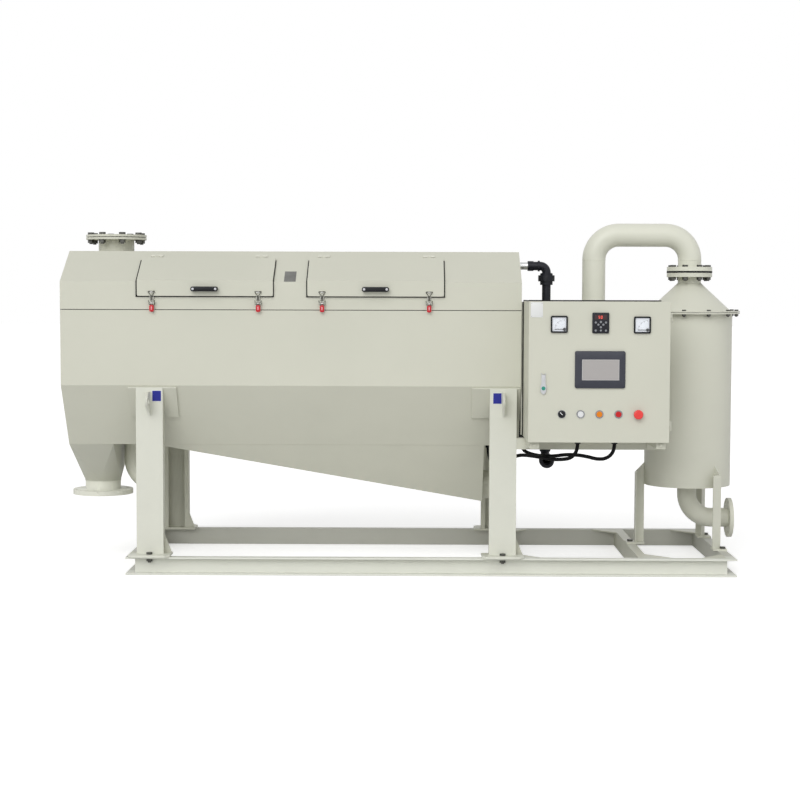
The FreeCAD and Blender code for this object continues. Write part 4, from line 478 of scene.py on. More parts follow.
def facing(x, y, z, direction):
    """Placement at a point, with +Z turned to a direction."""
    turn = Vector(UP).rotation_difference(Vector(direction)).to_matrix().to_4x4()
    return Matrix.Translation(mm(x, y, z)) @ turn


def add_shape(shape, other, place):
    """Adds another bmesh, moved to its place."""
    bmesh.ops.transform(other, matrix=place, verts=other.verts)
    mesh = bpy.data.meshes.new("part")
    other.to_mesh(mesh)
    other.free()
    shape.from_mesh(mesh)
    bpy.data.meshes.remove(mesh)


def soften(shape, edges, width, segments=2):
    bmesh.ops.bevel(shape, geom=list(edges), offset=width * MM, segments=segments, profile=0.5,
                    affect="EDGES", material=-1)


def add_block(shape, x0, x1, y0, y1, z0, z1, edge=0.0, segments=2):
    """Block between two corners, its edges rounded."""
    made = bmesh.ops.create_cube(shape, size=1.0)["verts"]
    size = Vector((x1 - x0, y1 - y0, z1 - z0)) * MM
    bmesh.ops.scale(shape, vec=size, verts=made)
    bmesh.ops.translate(shape, vec=mm((x0 + x1) / 2, (y0 + y1) / 2, (z0 + z1) / 2), verts=made)
    if edge:
        soften(shape, {line for vert in made for line in vert.link_edges}, edge, segments)


def add_panel(shape, area, y0, y1, edge=0.0, segments=2):
    """Block over an area that faces the viewer, between two depths."""
    left, right, low, high = area
    add_block(shape, left, right, y0, y1, low, high, edge, segments)


def add_border(shape, area, width, y0, y1, edge=0.0):
    """Four bars inside an area's edges."""
    left, right, low, high = area
    for bar in ((left, right, low, low + width), (left, right, high - width, high),
                (left, left + width, low + width, high - width),
                (right - width, right, low + width, high - width)):
        add_panel(shape, bar, y0, y1, edge, 1)


def add_round(shape, x, y, z, direction, radius, length, edge=0.0, sides=40):
    """Cylinder from a point along a direction, its rims rounded."""
    rod = bmesh.new()
    bmesh.ops.create_cone(rod, cap_ends=True, segments=sides, radius1=radius * MM, radius2=radius * MM,
                          depth=length * MM)
    if edge:
        rims = [line for line in rod.edges if abs(line.verts[0].co.z - line.verts[1].co.z) < SAME_POINT]
        soften(rod, rims, edge)
    bmesh.ops.translate(rod, vec=(0, 0, length * MM / 2), verts=rod.verts)
    add_shape(shape, rod, facing(x, y, z, direction))


def add_ring(shape, x, y, z, direction, outer, inner, length, edge, sides=48):
    """Ring spun from its rounded section."""
    ring = bmesh.new()
    made = bmesh.ops.create_grid(ring, x_segments=1, y_segments=1, size=0.5)["verts"]
    bmesh.ops.rotate(ring, verts=made, matrix=Matrix.Rotation(math.pi / 2, 3, "X"))
    bmesh.ops.scale(ring, vec=((outer - inner) * MM, 1, length * MM), verts=made)
    bmesh.ops.translate(ring, vec=((outer + inner) * MM / 2, 0, length * MM / 2), verts=made)
    bmesh.ops.bevel(ring, geom=list(ring.verts), offset=edge * MM, segments=2, profile=0.5,
                    affect="VERTICES", material=-1)
    for face in list(ring.faces):
        ring.faces.remove(face)
    bmesh.ops.spin(ring, geom=list(ring.verts) + list(ring.edges), cent=(0, 0, 0), axis=UP,
                   angle=2 * math.pi, steps=sides, use_merge=True)
    add_shape(shape, ring, facing(x, y, z, direction))


def add_outline(shape, corners, push):
    """Flat outline through corners, pushed along a vector."""
    face = shape.faces.new([shape.verts.new(mm(*corner)) for corner in corners])
    pushed = bmesh.ops.extrude_face_region(shape, geom=[face])["geom"]
    verts = [item for item in pushed if isinstance(item, bmesh.types.BMVert)]
    bmesh.ops.translate(shape, vec=mm(*push), verts=verts)


def add_section(shape, outline, x0, x1):
    """Outline of (y, z) points pushed along X."""
    add_outline(shape, [(x0, y, z) for y, z in outline], (x1 - x0, 0, 0))


def join_loops(shape, first, second):
    """Faces between two closed loops with as many points."""
    for step in range(len(first)):
        after = (step + 1) % len(first)
        shape.faces.new((first[step], first[after], second[after], second[step]))


def add_wire(shape, points, radius, closed=False, sides=12):
    """Round wire through points that lie about in one plane across Y."""
    places = [mm(*point) for point in points]
    count = len(places)
    turns = [2 * math.pi * step / sides for step in range(sides)]
    rings = []
    for number, place in enumerate(places):
        ways = []
        if number > 0 or closed:
            ways.append((place - places[number - 1]).normalized())
        if number < count - 1 or closed:
            ways.append((places[(number + 1) % count] - place).normalized())
        way = sum(ways, Vector()).normalized()
        across = way.cross(Vector(BACK)).normalized()
        over = across.cross(way).normalized()
        widen = 1 / max(0.5, way.dot(ways[0]))
        spots = [across * math.cos(turn) * widen + over * math.sin(turn) for turn in turns]
        rings.append([shape.verts.new(place + spot * radius * MM) for spot in spots])
    for first, second in zip(rings, rings[1:] + rings[:1] if closed else rings[1:]):
        join_loops(shape, first, second)
    if not closed:
        shape.faces.new(rings[0])
        shape.faces.new(rings[-1])


def rounded_loop(shape, area, radius, y):
    """Points round an area with rounded corners, in a plane across Y."""
    left, right, low, high = shrunk(area, radius)
    spots = []
    for x, z, start in ((right, high, 0), (left, high, 90), (left, low, 180), (right, low, 270)):
        for step in range(7):
            angle = math.radians(start + 15 * step)
            spots.append(shape.verts.new(mm(x + radius * math.cos(angle), y, z + radius * math.sin(angle))))
    return spots


def add_frame(shape, area, corner, back, front, edge, inner=None, floor=None, inner_corner=1.5):
    """Plate with rounded corners that faces the viewer, with a recess if inner is given."""
    half = edge * 0.3
    steps = [(area, corner, back), (area, corner, front + edge),
             (shrunk(area, half), corner - half, front + half), (shrunk(area, edge), corner - edge, front)]
    if inner:
        steps += [(shrunk(inner, -half), inner_corner + half, front), (inner, inner_corner, front + half),
                  (inner, inner_corner, floor)]
    loops = [rounded_loop(shape, *step) for step in steps]
    for first, second in zip(loops, loops[1:]):
        join_loops(shape, first, second)
    shape.faces.new(loops[0])
    shape.faces.new(loops[-1])


# ---- camera, lights and floor

def set_camera():
    """Camera at the place of the 800 x 800 photograph, level apart from a small pitch, yaw and roll."""
    place = mm(-91.8, -7988.2, 1249.5)
    pitch, yaw, roll = math.radians(3.557), math.radians(-0.366), math.radians(0.167)
    ahead = Vector((math.sin(yaw) * math.cos(pitch), math.cos(yaw) * math.cos(pitch), -math.sin(pitch)))
    right = Vector((math.cos(yaw), -math.sin(yaw), 0))
    up = right.cross(ahead)
    turned_right = right * math.cos(roll) + up * math.sin(roll)
    turned_up = up * math.cos(roll) - right * math.sin(roll)
    camera = bpy.data.objects.new("camera", bpy.data.cameras.new("camera"))
    bpy.context.scene.collection.objects.link(camera)
    camera.data.lens = 76.46
    camera.data.sensor_width = 36.0
    camera.data.sensor_fit = "HORIZONTAL"
    camera.data.clip_end = 200.0
    turn = Matrix((turned_right, turned_up, -ahead)).transposed().to_4x4()
    camera.matrix_world = Matrix.Translation(place) @ turn
    bpy.context.scene.camera = camera
    bpy.context.scene.view_settings.view_transform = "Standard"


def add_sun(name, strength, spread, direction):
    """Soft sun whose light travels along a direction."""
    light = bpy.data.lights.new(name, "SUN")
    light.energy = strength
    light.angle = math.radians(spread)
    lamp = bpy.data.objects.new(name, light)
    lamp.rotation_euler = Vector((0, 0, -1)).rotation_difference(Vector(direction)).to_euler()
    bpy.context.scene.collection.objects.link(lamp)


def set_world(ambient):
    """White behind everything for the camera and reflections, an even glow for the rest."""
    world = bpy.data.worlds.new("studio")
    bpy.context.scene.world = world
    world.use_nodes = True
    tree = world.node_tree
    tree.nodes.clear()

    def either(first, second):
        node = tree.nodes.new("ShaderNodeMath")
        node.operation = "MAXIMUM"
        tree.links.new(first, node.inputs[0])
        tree.links.new(second, node.inputs[1])
        return node.outputs[0]

    def white(strength):
        node = tree.nodes.new("ShaderNodeBackground")
        node.inputs["Color"].default_value = (1, 1, 1, 1)
        node.inputs["Strength"].default_value = strength
        return node.outputs[0]

    rays = tree.nodes.new("ShaderNodeLightPath").outputs
    seen = either(rays["Is Camera Ray"], either(rays["Is Glossy Ray"], rays["Is Transmission Ray"]))
    mix = tree.nodes.new("ShaderNodeMixShader")
    for entry, output in zip(mix.inputs, (seen, white(ambient), white(1.0))):
        tree.links.new(output, entry)
    end = tree.nodes.new("ShaderNodeOutputWorld")
    tree.links.new(mix.outputs[0], end.inputs["Surface"])


def add_floor():
    """White floor that shows the machine's soft shadow."""
    shape = bmesh.new()
    bmesh.ops.create_grid(shape, x_segments=1, y_segments=1, size=60.0)
    mesh = bpy.data.meshes.new("floor")
    shape.to_mesh(mesh)
    shape.free()
    floor = bpy.data.objects.new("floor", mesh)
    floor.location.z = -0.0005
    bpy.context.scene.collection.objects.link(floor)
    white = Finish("floor_white", Specular_IOR_Level=0.0, Roughness=0.9, Emission_Color=(1, 1, 1, 1))
    seen = white.add("ShaderNodeLightPath", {}, {}, "Is Camera Ray")
    white.surface(Base_Color=white.blend(white.noise(3.0, 2.0), (0.86, 0.86, 0.86), (0.84, 0.84, 0.84)),
                  Emission_Strength=seen * 0.50)
    mesh.materials.append(white.material)


# ---- cables

def lay_cable(name, route, node):
    """Cable as one smooth curve along its route."""
    curve = bpy.data.curves.new(name, "CURVE")
    curve.dimensions = "3D"
    curve.bevel_depth = cable_r * MM
    curve.bevel_resolution = 5
    curve.resolution_u = 8
    curve.use_fill_caps = True
    spline = curve.splines.new("NURBS")
    spline.points.add(len(route) - 1)
    for point, place in zip(spline.points, route):
        point.co = (*mm(*place), 1.0)
    spline.order_u = 3
    spline.use_endpoint_u = True
    curve.materials.append(FINISHES["cable_rubber"])
    cable = bpy.data.objects.new(name, curve)
    bpy.context.scene.collection.objects.link(cable)
    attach(cable, "machine")
    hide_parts(node)


# ---- hatches

def roof_point(along, out):
    """Point (y, z) up the roof slope from the knee, and out from the sheet."""
    return (front_y + slope_run * along - slope_rise * out,
            upper_knee_z + slope_rise * along + slope_run * out)


def lid_seal_and_shade(body, x0, x1):
    """Black rubber strip round the lid's edge, between lid and cover, wide enough to stand also for the
    shadow gap round the lid: real seal and painted shade.
    """
    low, high = 0.3, seal_height + 1.0
    drop, clear, inset = 4.5, 0.4, 4.0
    side_end, top_end = lid_slope_length - 12, lid_slope_length - 1
    top_start = top_end - inset
    mitre = slope_run / (1 + slope_rise)
    left, right = seal_and_shade_widths[body]
    bottom = lid_bottom_z - drop
    side = [(front_y - low, bottom), (front_y - low, upper_knee_z + mitre * low),
            roof_point(side_end, low), roof_point(side_end, high),
            (front_y - high, upper_knee_z + mitre * high), (front_y - high, bottom)]
    top = [roof_point(top_start, low), roof_point(top_end, low),
           roof_point(top_end, seal_height), roof_point(top_start, seal_height)]
    shape = bmesh.new()
    add_section(shape, side, x0 - left, x0 - clear)
    add_section(shape, side, x1 + clear, x1 + right)
    add_block(shape, x0 - clear, x1 + clear, front_y - high, front_y - low, bottom, lid_bottom_z - clear)
    add_section(shape, top, x0 + inset, x1 - inset)
    finish_piece(body + "_seal", shape, body, "gasket_rubber")


def lid_handle(body, x):
    """Bow handle: bar with rounded ends on two feet."""
    back = front_y - lid_face
    front = back - handle_reach
    half_length, half_height, bar = 60, 11, 8
    foot_half, foot_high = 9.5, 10.5
    shape = bmesh.new()
    add_frame(shape, (x - half_length, x + half_length, handle_z - half_height, handle_z + half_height),
              9.6, front + bar, front, 2.4)
    for foot in (x - handle_screw, x + handle_screw):
        add_frame(shape, (foot - foot_half, foot + foot_half, handle_z - foot_high, handle_z + foot_high),
                  9.0, back - HAIR, front + bar - 1, 0.6)
    piece = finish_piece(body + "_bow", shape, body, "black_plastic", handle_black)
    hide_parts("hatch_%s_handle" % body.split("_")[0])


def handle_caps(body, x):
    """Light caps over the two screws of a lid handle."""
    cap_r, proud = 5.5, 1.5
    shape = bmesh.new()
    face = front_y - lid_face - handle_reach
    for screw in (x - handle_screw, x + handle_screw):
        add_round(shape, screw, face + 0.5, handle_z, FRONT, cap_r, 0.5 + proud, 0.6, 24)
    finish_piece(body + "_handle_caps", shape, body, "black_plastic", silver_plastic)


# ---- latches

def latch_parts(number, lid, x):
    """Wire, threaded rod, catch lip, wings, fork and grip of one latch, with a painted highlight down the
    grip.
    """
    bail, lever = "bail_%d" % number, "lever_%d" % number
    pivot_y, pivot_z = front_y - 14.0, lid_bottom_z - 33.0
    wire_y, lip_back = front_y - lid_face - 4.4, front_y - lid_face - 2.0

    bend = [(1.6, 1240.0), (13.2, 1256.4), (14.0, 1258.6), (12.6, 1260.0)]
    wire = bmesh.new()
    add_wire(wire, [(x - across, wire_y, z) for across, z in bend]
             + [(x + across, wire_y, z) for across, z in reversed(bend)], 1.6, True)
    finish_piece("latch_wire_%d" % number, wire, bail, "zinc_steel", wire_steel_dark_reflection)

    rod_z, rod_length, rod_r = 1221.0, 20.0, 2.6
    nut_half, nut_height = 6.0, 4.0
    thread_z, thread_pitch, threads = 1226.0, 2.6, 5
    rod = bmesh.new()
    add_round(rod, x, wire_y, rod_z, UP, rod_r, rod_length, 0.6, 20)
    for step in range(threads):
        add_ring(rod, x, wire_y, thread_z + thread_pitch * step, UP, 3.1, 2.0, 1.3, 0.3, 20)
    add_block(rod, x - nut_half, x + nut_half, wire_y - rod_r, wire_y + rod_r, rod_z, rod_z + nut_height, 0.8)
    finish_piece("latch_rod_%d" % number, rod, bail, "zinc_steel", wire_steel_dark_reflection)

    lip_half, lip_low, lip_floor, lip_high = 6.0, 1254.6, 1256.6, 1259.0
    lip = bmesh.new()
    add_block(lip, x - lip_half, x + lip_half, wire_y - 3.4, lip_back, lip_low, lip_floor, 0.4)
    add_block(lip, x - lip_half, x + lip_half, wire_y - 3.6, wire_y - 2.0, lip_low, lip_high, 0.4)
    finish_piece("catch_lip_%d" % number, lip, lid, "zinc_steel")

    wing_y, flare = pivot_y - 1, ((12.2, 1203), (12.2, 1209), (14.2, 1221))
    wings = bmesh.new()
    for side in (-1, 1):
        add_wire(wings, [(x + side * across, wing_y, z) for across, z in flare], 1.5)
        ear = sorted((x + side * 11.0, x + side * 13.4))
        add_block(wings, *ear, pivot_y - 2.6, front_y - 0.2, 1202, 1208, 0.4)
    finish_piece("latch_wings_%d" % number, wings, "machine", "zinc_steel", wire_steel_dark_reflection)

    prong_x, prong_half, prong_deep, prong_low = 6.8, 1.1, 4.5, 1186.0
    fork = bmesh.new()
    for prong in (x - prong_x, x + prong_x):
        add_block(fork, prong - prong_half, prong + prong_half, pivot_y - prong_deep, pivot_y + prong_deep,
                  prong_low, pivot_z + 5, 0.6)
    finish_piece("latch_fork_%d" % number, fork, lever, "zinc_steel", wire_steel_dark_reflection)

    grip_half, grip_deep, grip_low, grip_high = 10.0, 5.4, 1169.5, 1200.5
    grip = bmesh.new()
    add_frame(grip, (x - grip_half, x + grip_half, grip_low, grip_high), 6.8, pivot_y + grip_deep,
              pivot_y - grip_deep, 2.8)
    piece = finish_piece("latch_grip_%d" % number, grip, lever, "grip_red")
    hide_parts("latch_lever_%d" % number)

    # painted highlight: a pink strip down the middle of the red grip
    highlight_half, highlight_low, highlight_high = 2.2, grip_low + 9, grip_high - 7
    grip_highlight = bmesh.new()
    add_frame(grip_highlight, (x - highlight_half, x + highlight_half, highlight_low, highlight_high), 2.1,
              pivot_y - grip_deep + 0.1, pivot_y - grip_deep - 0.4, 0.4)
    finish_piece("latch_streak_%d" % number, grip_highlight, lever, "grip_red", painted_grip_highlight)


# ---- cabinet door

def meter_area(spot, inset=0.0):
    """Area of a panel meter, or of what sits inside its rim."""
    half = meter_half - inset
    return on_door(spot[0] - half, spot[1] - half, spot[0] + half, spot[1] + half)


def meter_pivot(spot):
    """Place (x, z) of the hand's pivot, at the dial's lower right corner."""
    return cabinet_x + spot[0] + meter_half - pivot_in, cabinet_z + spot[1] - meter_half + pivot_up


def meter_bodies():
    """Panel meters: thick rounded frame, recess for the dial and round body behind the door."""
    rim, height, dial_height = 6.4, 9.0, 3.0
    case_r, case_length = meter_half - 6.5, 42
    shape = bmesh.new()
    for spot in meter_spots.values():
        x, z = cabinet_x + spot[0], cabinet_z + spot[1]
        add_frame(shape, meter_area(spot), 6.5, cabinet_front - HAIR, cabinet_front - height, 1.4,
                  meter_area(spot, rim), cabinet_front - dial_height, 2.5)
        add_round(shape, x, cabinet_front + HAIR, z, BACK, case_r, case_length, 1.0, 48)
    piece = finish_piece("meter_bodies", shape, "door", "meter_plastic")
    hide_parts("panel_meters")


def meter_face(name, spot):
    """Dial card, scale marks, pivot cover and pane of a panel meter."""
    inset = 6.6
    card = bmesh.new()
    add_panel(card, meter_area(spot, inset), cabinet_front - 3.5, cabinet_front - 3.1, 0.1, 1)
    finish_piece(name + "_dial_card", card, "door", "white_plastic", dial_card)

    x, z = meter_pivot(spot)
    intervals, sweep = 20, 90.0
    centre = Matrix.Translation(mm(x, cabinet_front - 3.6, z))
    marks = bmesh.new()
    for number in range(intervals + 1):
        first, last, width = (35.0, 42.0, 1.1) if number % 5 == 0 else (38.0, 41.5, 0.45)
        angle = math.pi + math.radians(sweep * number / intervals)
        mark = bmesh.new()
        add_block(mark, first, last, -0.1, 0.1, -width / 2, width / 2)
        add_shape(marks, mark, centre @ Matrix.Rotation(angle, 4, "Y"))
    finish_piece(name + "_scale_marks", marks, "door", "needle_paint")

    cover = bmesh.new()
    add_round(cover, x, cabinet_front - 6.3, z, FRONT, 6.8, 1.4, 0.5, 28)
    finish_piece(name + "_pivot_cover", cover, "door", "meter_plastic")
    pane = bmesh.new()
    add_panel(pane, meter_area(spot, inset), cabinet_front - 8.6, cabinet_front - 8.1)
    finish_piece(name + "_pane", pane, "door", "meter_plastic", meter_glass)


def meter_hand(name, spot):
    """Dark hand of a panel meter, at zero on its scale."""
    x, z = meter_pivot(spot)
    hub_r, length, half = 4.4, 41, 1.3
    shape = bmesh.new()
    add_round(shape, x, cabinet_front - 3.7, z, FRONT, hub_r, 2.3, 0.4, 28)
    add_block(shape, x - length, x, cabinet_front - 5.4, cabinet_front - 4.4, z - half, z + half, 0.3)
    piece = finish_piece(name + "_hand", shape, name + "_pointer", "needle_paint")
    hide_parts(name + "_needle")


def screen_body():
    """Operator screen: rounded frame with the display's recess, and its case behind the door."""
    case_inset, case_length = 6.3, 42
    area = on_door(*screen_box)
    shape = bmesh.new()
    add_frame(shape, area, 8.0, cabinet_front - HAIR, cabinet_front - 8, 1.8, on_door(*display_box),
              cabinet_front - 7.0, 1.0)
    add_panel(shape, shrunk(area, case_inset), cabinet_front + HAIR, cabinet_front + case_length, 1.0)
    piece = finish_piece("screen_body", shape, "door", "screen_plastic")
    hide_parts("operator_screen")


def keypad_body():
    """Keypad of the drive: rounded plate with a recess for its display, and its case behind the door."""
    case_inset, case_length = 6.3, 28
    area = on_door(*keypad_box)
    left, right, _, high = area
    window = (left + 9, right - 9, high - 30, high - 9)
    shape = bmesh.new()
    add_frame(shape, area, 5.0, cabinet_front - HAIR, cabinet_front - 10, 1.6, window,
              cabinet_front - 8.5, 1.0)
    add_panel(shape, shrunk(area, case_inset), cabinet_front + HAIR, cabinet_front + case_length, 1.0)
    piece = finish_piece("keypad_body", shape, "door", "dark_plastic")
    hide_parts("drive_keypad")


def lock_body():
    """Lock handle: narrow above, wider towards its pointed lower end, with the pin across its slot."""
    x, axis_y = cabinet_x + lock_middle_x, cabinet_front - 5.5
    low, top = cabinet_z + lock_low_z, cabinet_z + lock_high_z
    half, deep, slot_half, slot_low, pin_z = 8.6, 4.0, 6.5, top - 6.7, top - 3.0
    flank = [(half, slot_low), (half, low + 45), (12.0, low + 36), (13.2, low + 24), (10.5, low + 10),
             (4.0, low + 1)]
    outline = [(-px, pz) for px, pz in flank] + [(0, low)] + flank[::-1]
    shape = bmesh.new()
    add_outline(shape, [(x + px, axis_y - deep, pz) for px, pz in outline], (0, 2 * deep, 0))
    flat = [line for line in shape.edges if abs(line.verts[0].co.y - line.verts[1].co.y) < SAME_POINT]
    soften(shape, flat, 1.6, 3)
    for side in (-1, 1):
        arm = sorted((x + side * slot_half, x + side * half))
        add_block(shape, *arm, axis_y - deep, axis_y + deep, slot_low - 0.5, top, 0.6)
    add_round(shape, x - 7.0, axis_y, pin_z, RIGHT, 1.2, 14.0, 0.0, 20)
    piece = finish_piece("lock_body", shape, "lock_handle", "black_plastic", silver_plastic)
    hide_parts("door_lock")


def lock_details():
    """Key cylinder, coloured ring and finger pad on the lock handle."""
    x, key_z = cabinet_x + lock_middle_x, cabinet_z + 231
    face = cabinet_front - 9.4
    ring = bmesh.new()
    add_ring(ring, x, face, key_z, FRONT, 8.4, 5.3, 1.2, 0.3)
    finish_piece("lock_ring", ring, "lock_handle", "black_plastic", lock_green)
    barrel = bmesh.new()
    add_round(barrel, x, face, key_z, FRONT, 5.2, 1.0, 0.3, 28)
    finish_piece("lock_barrel", barrel, "lock_handle", "zinc_steel", lock_green)
    pad = bmesh.new()
    add_block(pad, x - 5, x + 5, face - 0.9, face + 0.1, cabinet_z + 256, cabinet_z + 284, 0.5)
    finish_piece("lock_grip", pad, "lock_handle", "black_plastic", silver_plastic)


# which bars of a seven-segment digit are lit
SEGMENTS = {"0": "abcdef", "5": "acdfg"}


def add_digit(shape, x, z, digit):
    """Seven-segment digit from short bars."""
    height, width, bar, y = 11.0, 6.0, 1.3, cabinet_front - 9.3
    half = height / 2
    bars = {"a": (0, width, height - bar, height), "g": (0, width, half - bar / 2, half + bar / 2),
            "d": (0, width, 0, bar), "f": (0, bar, half, height), "b": (width - bar, width, half, height),
            "e": (0, bar, 0, half), "c": (width - bar, width, 0, half)}
    for name in SEGMENTS[digit]:
        x0, x1, z0, z1 = bars[name]
        add_block(shape, x + x0, x + x1, y, y + 0.4, z + z0, z + z1, 0.1, 1)


def keypad_face():
    """Digits, window and round keys of the drive's keypad."""
    left, right, low, high = on_door(*keypad_box)
    digit_pitch, key_r, key_height = 10, 4.6, 2.2
    digits = bmesh.new()
    for number, digit in enumerate("50"):
        add_digit(digits, left + 26 + digit_pitch * number, high - 25, digit)
    finish_piece("keypad_digits", digits, "door", "red_plastic", red_digits)
    area = (left + 9.5, right - 9.5, high - 29.5, high - 9.5)
    window = bmesh.new()
    add_panel(window, area, cabinet_front - 8.9, cabinet_front - 8.6)
    finish_piece("keypad_window", window, "door", "dark_plastic", window_dark)
    spots = ((14, 46), (57, 46), (35.5, 48), (25, 37), (46, 37), (14, 12), (35.5, 12), (57, 12), (35.5, 26))
    keys = bmesh.new()
    for x, z in spots:
        add_round(keys, left + x, cabinet_front - 9.8, low + z, FRONT, key_r, key_height, 0.7, 24)
    finish_piece("keypad_keys", keys, "door", "dark_plastic", key_grey)


def display_face():
    """Pane of the operator screen with its pale border."""
    area, width, back = on_door(*display_box), 3, cabinet_front - 7.1
    pane = bmesh.new()
    add_panel(pane, shrunk(area, width), back - 0.3, back, 0.1, 1)
    finish_piece("display_pane", pane, "door", "screen_plastic", display_glass)
    border = bmesh.new()
    add_border(border, area, width, back - 0.8, back, 0.2)
    finish_piece("display_border", border, "door", "screen_plastic", frame_grey)


def selector_body():
    """Selector: stem through the door, disc, and grip that points to the upper left."""
    x, z = cabinet_x + selector_x, cabinet_z + button_z
    stem_r, stem_back, disc_r, disc_height = 12.5, 14, 15.5, 3.0
    grip_half, grip_length = 4.0, 12.0
    shape = bmesh.new()
    add_round(shape, x, cabinet_front + stem_back, z, FRONT, stem_r, stem_back + 3.5, 0.6, 48)
    add_round(shape, x, cabinet_front - 3.5, z, FRONT, disc_r, disc_height, 0.8, 48)
    grip = bmesh.new()
    add_block(grip, -grip_half, grip_half, -17.0, -5.0, -grip_length, grip_length, 1.4, 3)
    add_shape(shape, grip, Matrix.Translation(mm(x, cabinet_front, z)) @ selector_turn)
    piece = finish_piece("selector_body", shape, "selector", "black_plastic")
    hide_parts("selector_switch")


def selector_mark():
    """White line along the selector's grip."""
    x, z = cabinet_x + selector_x, cabinet_z + button_z
    line = bmesh.new()
    add_block(line, -1.5, 1.5, -17.6, -16.9, -4, 11.4, 0.2, 1)
    place = Matrix.Translation(mm(x, cabinet_front, z)) @ selector_turn
    bmesh.ops.transform(line, matrix=place, verts=line.verts)
    finish_piece("selector_mark", line, "selector", "white_plastic")


def door_seal():
    """Black foam strip between the door and the cabinet's rim."""
    inset, width = 6.0, 14.0
    shape = bmesh.new()
    add_border(shape, shrunk(on_door(0, 0, cabinet_size, cabinet_size), inset), width, door_back - 0.5,
               box_front - 0.3)
    finish_piece("door_seal", shape, "door", "gasket_rubber")


# ---- cabinet's strips

def cabinet_top_shade_strip():
    """Black strip on the cabinet's top, behind the door, and along its left edge: painted shade along the
    box's dark top edge.
    """
    top = cabinet_z + cabinet_size
    low, front_high, side_high, width = top + 0.1, top + 5.5, top + 4.5, 4
    shape = bmesh.new()
    add_block(shape, cabinet_x, cabinet_x + cabinet_size - 36, box_front + 1, box_front + 1 + width, low,
              front_high, 0.6)
    add_block(shape, cabinet_x, cabinet_x + width, box_front + 1 + width, box_back - 8, low, side_high, 0.6)
    finish_piece("cabinet_top_shade_strip", shape, "machine", "gasket_rubber")


def cabinet_side_shade_strip():
    """Black strip down the cabinet's rear left edge, painted shade in the gap to the casing, with an angle in
    machine paint against the casing.
    """
    low, high = cabinet_z + 4, cabinet_z + cabinet_size - 4
    strip = bmesh.new()
    add_block(strip, cabinet_x - 4, cabinet_x - 0.1, box_back - 40, box_back - 4, low, high, 0.8)
    finish_piece("cabinet_side_shade_strip", strip, "machine", "gasket_rubber")
    angle = bmesh.new()
    add_block(angle, cabinet_x - 9.5, cabinet_x - 3.8, box_back - 30, box_back - 6, low, high, 0.8)
    finish_piece("cabinet_side_angle", angle, "machine", "machine_paint")


# ---- blank plates

def plate(name, body, area, y, finish, field=None):
    """Blank plate that faces the viewer, with a coloured field, or else riveted at its corners."""
    rim, rivet_in = 2.0, 4
    left, right, low, high = area
    shape = bmesh.new()
    add_panel(shape, area, y - 1.0, y, 0.3)
    finish_piece(name, shape, body, "machine_paint", finish)
    if field:
        face = bmesh.new()
        add_panel(face, shrunk(area, rim), y - 1.4, y - 0.9, 0.2, 1)
        finish_piece(name + "_field", face, body, "machine_paint", field)
        return
    heads = bmesh.new()
    for x in (left + rivet_in, right - rivet_in):
        for z in (low + rivet_in, high - rivet_in):
            add_round(heads, x, y - 0.9, z, FRONT, 1.8, 1.0, 0.5, 16)
    finish_piece(name + "_rivets", heads, body, "zinc_steel")


def roof_plate():
    """Blank plate on the roof slope between the two lids."""
    left, right, low, high = -656, -604, 2, 88
    back, front = 0.1, 1.1
    shape = bmesh.new()
    outline = [roof_point(low, back), roof_point(high, back), roof_point(high, front), roof_point(low, front)]
    add_section(shape, outline, left, right)
    soften(shape, shape.edges, 0.3)
    finish_piece("roof_plate", shape, "machine", "machine_paint", plate_grey)


# ---- chute, pipes and motor

def union_ribs():
    """Grip ribs round the union nut of the wash water pipe."""
    nut_r, rib_r, half_width, low, high, ribs = 36.5, 38.0, 2.5, 1314, 1337, 16
    shape = bmesh.new()
    for number in range(ribs):
        rib = bmesh.new()
        add_block(rib, nut_r, rib_r, -half_width, half_width, low, high, 0.6)
        turn = Matrix.Rotation(2 * math.pi * number / ribs, 4, "Z")
        add_shape(shape, rib, Matrix.Translation(mm(wash_x, wash_y, 0)) @ turn)
    finish_piece("union_ribs", shape, "machine", "black_plastic")


def chute_sheet():
    """Sludge chute: sheet folded from the housing's opening to the round neck, and the flange below it."""
    sheet, collar_low, collar_height = 3.0, neck_z - 3.0, 5.0
    cone = bmesh.new()
    ring = bmesh.ops.create_circle(cone, cap_ends=False, segments=32, radius=neck_r * MM)["verts"]
    bmesh.ops.translate(cone, vec=mm(chute_x, 0, neck_z), verts=ring)
    mouth = bmesh.ops.create_grid(cone, x_segments=1, y_segments=1, size=0.5)["verts"]
    bmesh.ops.scale(cone, vec=(chute_width * MM, 2 * floor_half * MM, 1), verts=mouth)
    bmesh.ops.translate(cone, vec=mm(body_left + chute_width / 2, 0, floor_z), verts=mouth)
    bmesh.ops.delete(cone, geom=list(cone.faces), context="FACES_ONLY")
    bmesh.ops.bridge_loops(cone, edges=list(cone.edges))
    bmesh.ops.recalc_face_normals(cone, faces=cone.faces)
    bmesh.ops.solidify(cone, geom=list(cone.faces), thickness=sheet * MM)
    shape = bmesh.new()
    shape.from_mesh(frame["nodes"]["sludge_chute"].data)
    bmesh.ops.remove_doubles(shape, verts=shape.verts, dist=SAME_POINT)
    everything = list(shape.verts) + list(shape.edges) + list(shape.faces)
    bmesh.ops.bisect_plane(shape, geom=everything, plane_co=(0, 0, (neck_z - 0.5) * MM), plane_no=UP,
                           clear_outer=True)
    add_shape(shape, cone, Matrix())
    add_ring(shape, chute_x, 0, collar_low, UP, neck_r + 2.0, neck_r - 2.5, collar_height, 1.5, 64)
    piece = finish_piece("sludge_chute_sheet", shape, "machine", "machine_paint", chute_paint_shaded_cone_lit_neck)
    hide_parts("sludge_chute")


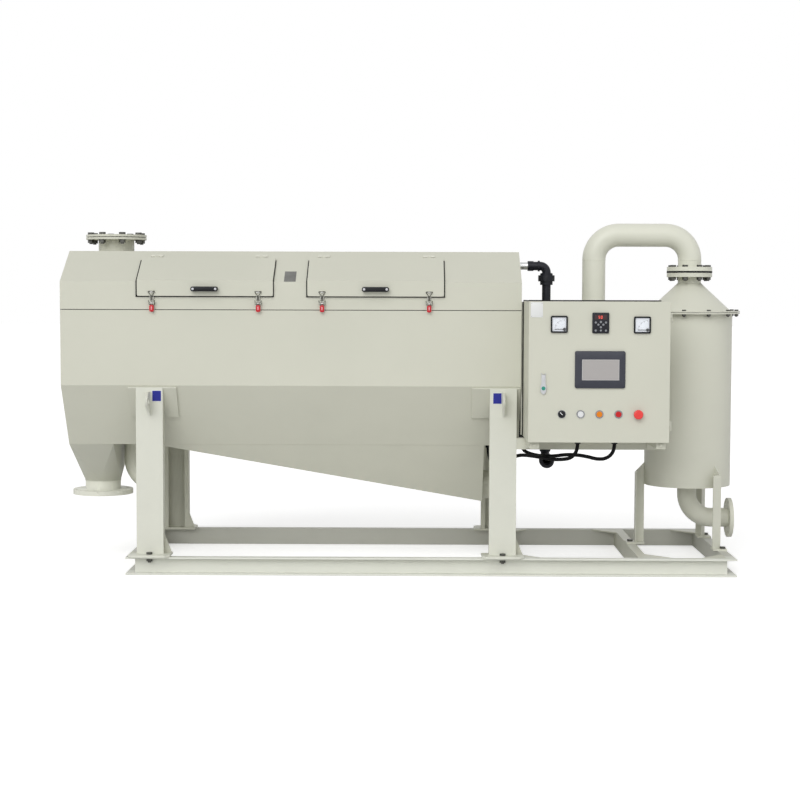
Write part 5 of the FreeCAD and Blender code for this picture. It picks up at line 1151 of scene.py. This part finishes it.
def neck_seal_and_shade():
    """Black edge of the gasket at the tank's neck, as tall as the gap between the flanges: real gasket and
    painted shade in the gap.
    """
    outer, inner, low, height = 105.6, 100.0, 1353.0, 9.0
    shape = bmesh.new()
    add_ring(shape, tank_x, 0, low, UP, outer, inner, height, 0.8, 64)
    finish_piece("neck_seal_and_shade", shape, "machine", "gasket_rubber")


def pipe_welds():
    """Weld beads round both legs of the transfer pipe."""
    outer, inner, low, height = 55.2, 52.5, 1411.5, 4.0
    shape = bmesh.new()
    for x in (riser_x, tank_x):
        add_ring(shape, x, 0, low, UP, outer, inner, height, 1.2, 56)
    finish_piece("transfer_pipe_welds", shape, "machine", "machine_paint", lit_pipe_paint)


def fan_grille():
    """Rings on the end of the motor's fan cover."""
    x, y, z = 462.0, -74.6, 619.8
    half_width, height = 2, 1.4
    shape = bmesh.new()
    for radius in (14, 24, 34, 44):
        add_ring(shape, x, y, z, FRONT, radius + half_width, radius - half_width, height, 0.4, 40)
    finish_piece("fan_grille", shape, "machine", "motor_paint", FINISHES["bearing_iron"])


dress_nodes()
set_camera()
set_world(0.46)
add_sun("key_light", 1.50, 45.0, (0.30, 0.85, -0.55))
add_sun("fill_light", 0.35, 70.0, (-0.55, 0.80, -0.25))
add_floor()
lay_cable("motor_cable_sleeve", motor_route, "motor_cable")
lay_cable("control_cable_sleeve", control_route, "control_cable")
for body, (x0, x1) in hatches.items():
    lid_seal_and_shade(body, x0, x1)
    lid_handle(body, handle_xs[body])
    handle_caps(body, handle_xs[body])
for number, x in enumerate(latch_xs, 1):
    latch_parts(number, "left_hatch" if number < 3 else "right_hatch", x)
meter_bodies()
for name, spot in meter_spots.items():
    meter_face(name, spot)
    meter_hand(name, spot)
screen_body()
keypad_body()
lock_body()
cabinet_top_shade_strip()
cabinet_side_shade_strip()
keypad_face()
display_face()
selector_body()
selector_mark()
lock_details()
door_seal()
plate("cabinet_plate", "door", on_door(7, 532, 59, 596), cabinet_front, plate_white)
plate("left_leg_plate", "machine", (-1243, -1200, 771, 821), leg_face_y, plate_white, plate_blue)
plate("right_leg_plate", "machine", (272, 313, 764, 815), leg_face_y, plate_white, plate_blue)
roof_plate()
union_ribs()
fan_grille()
chute_sheet()
neck_seal_and_shade()
pipe_welds()
for name in ("upper_cover", "lower_housing", "base_rails", "front_legs", "cabinet_box"):
    edged_copy(name, "machine")
edged_copy("cabinet_door", "door")
edged_copy("hatch_left_lid", "left_hatch")
edged_copy("hatch_right_lid", "right_hatch")

bpy.context.view_layer.update()
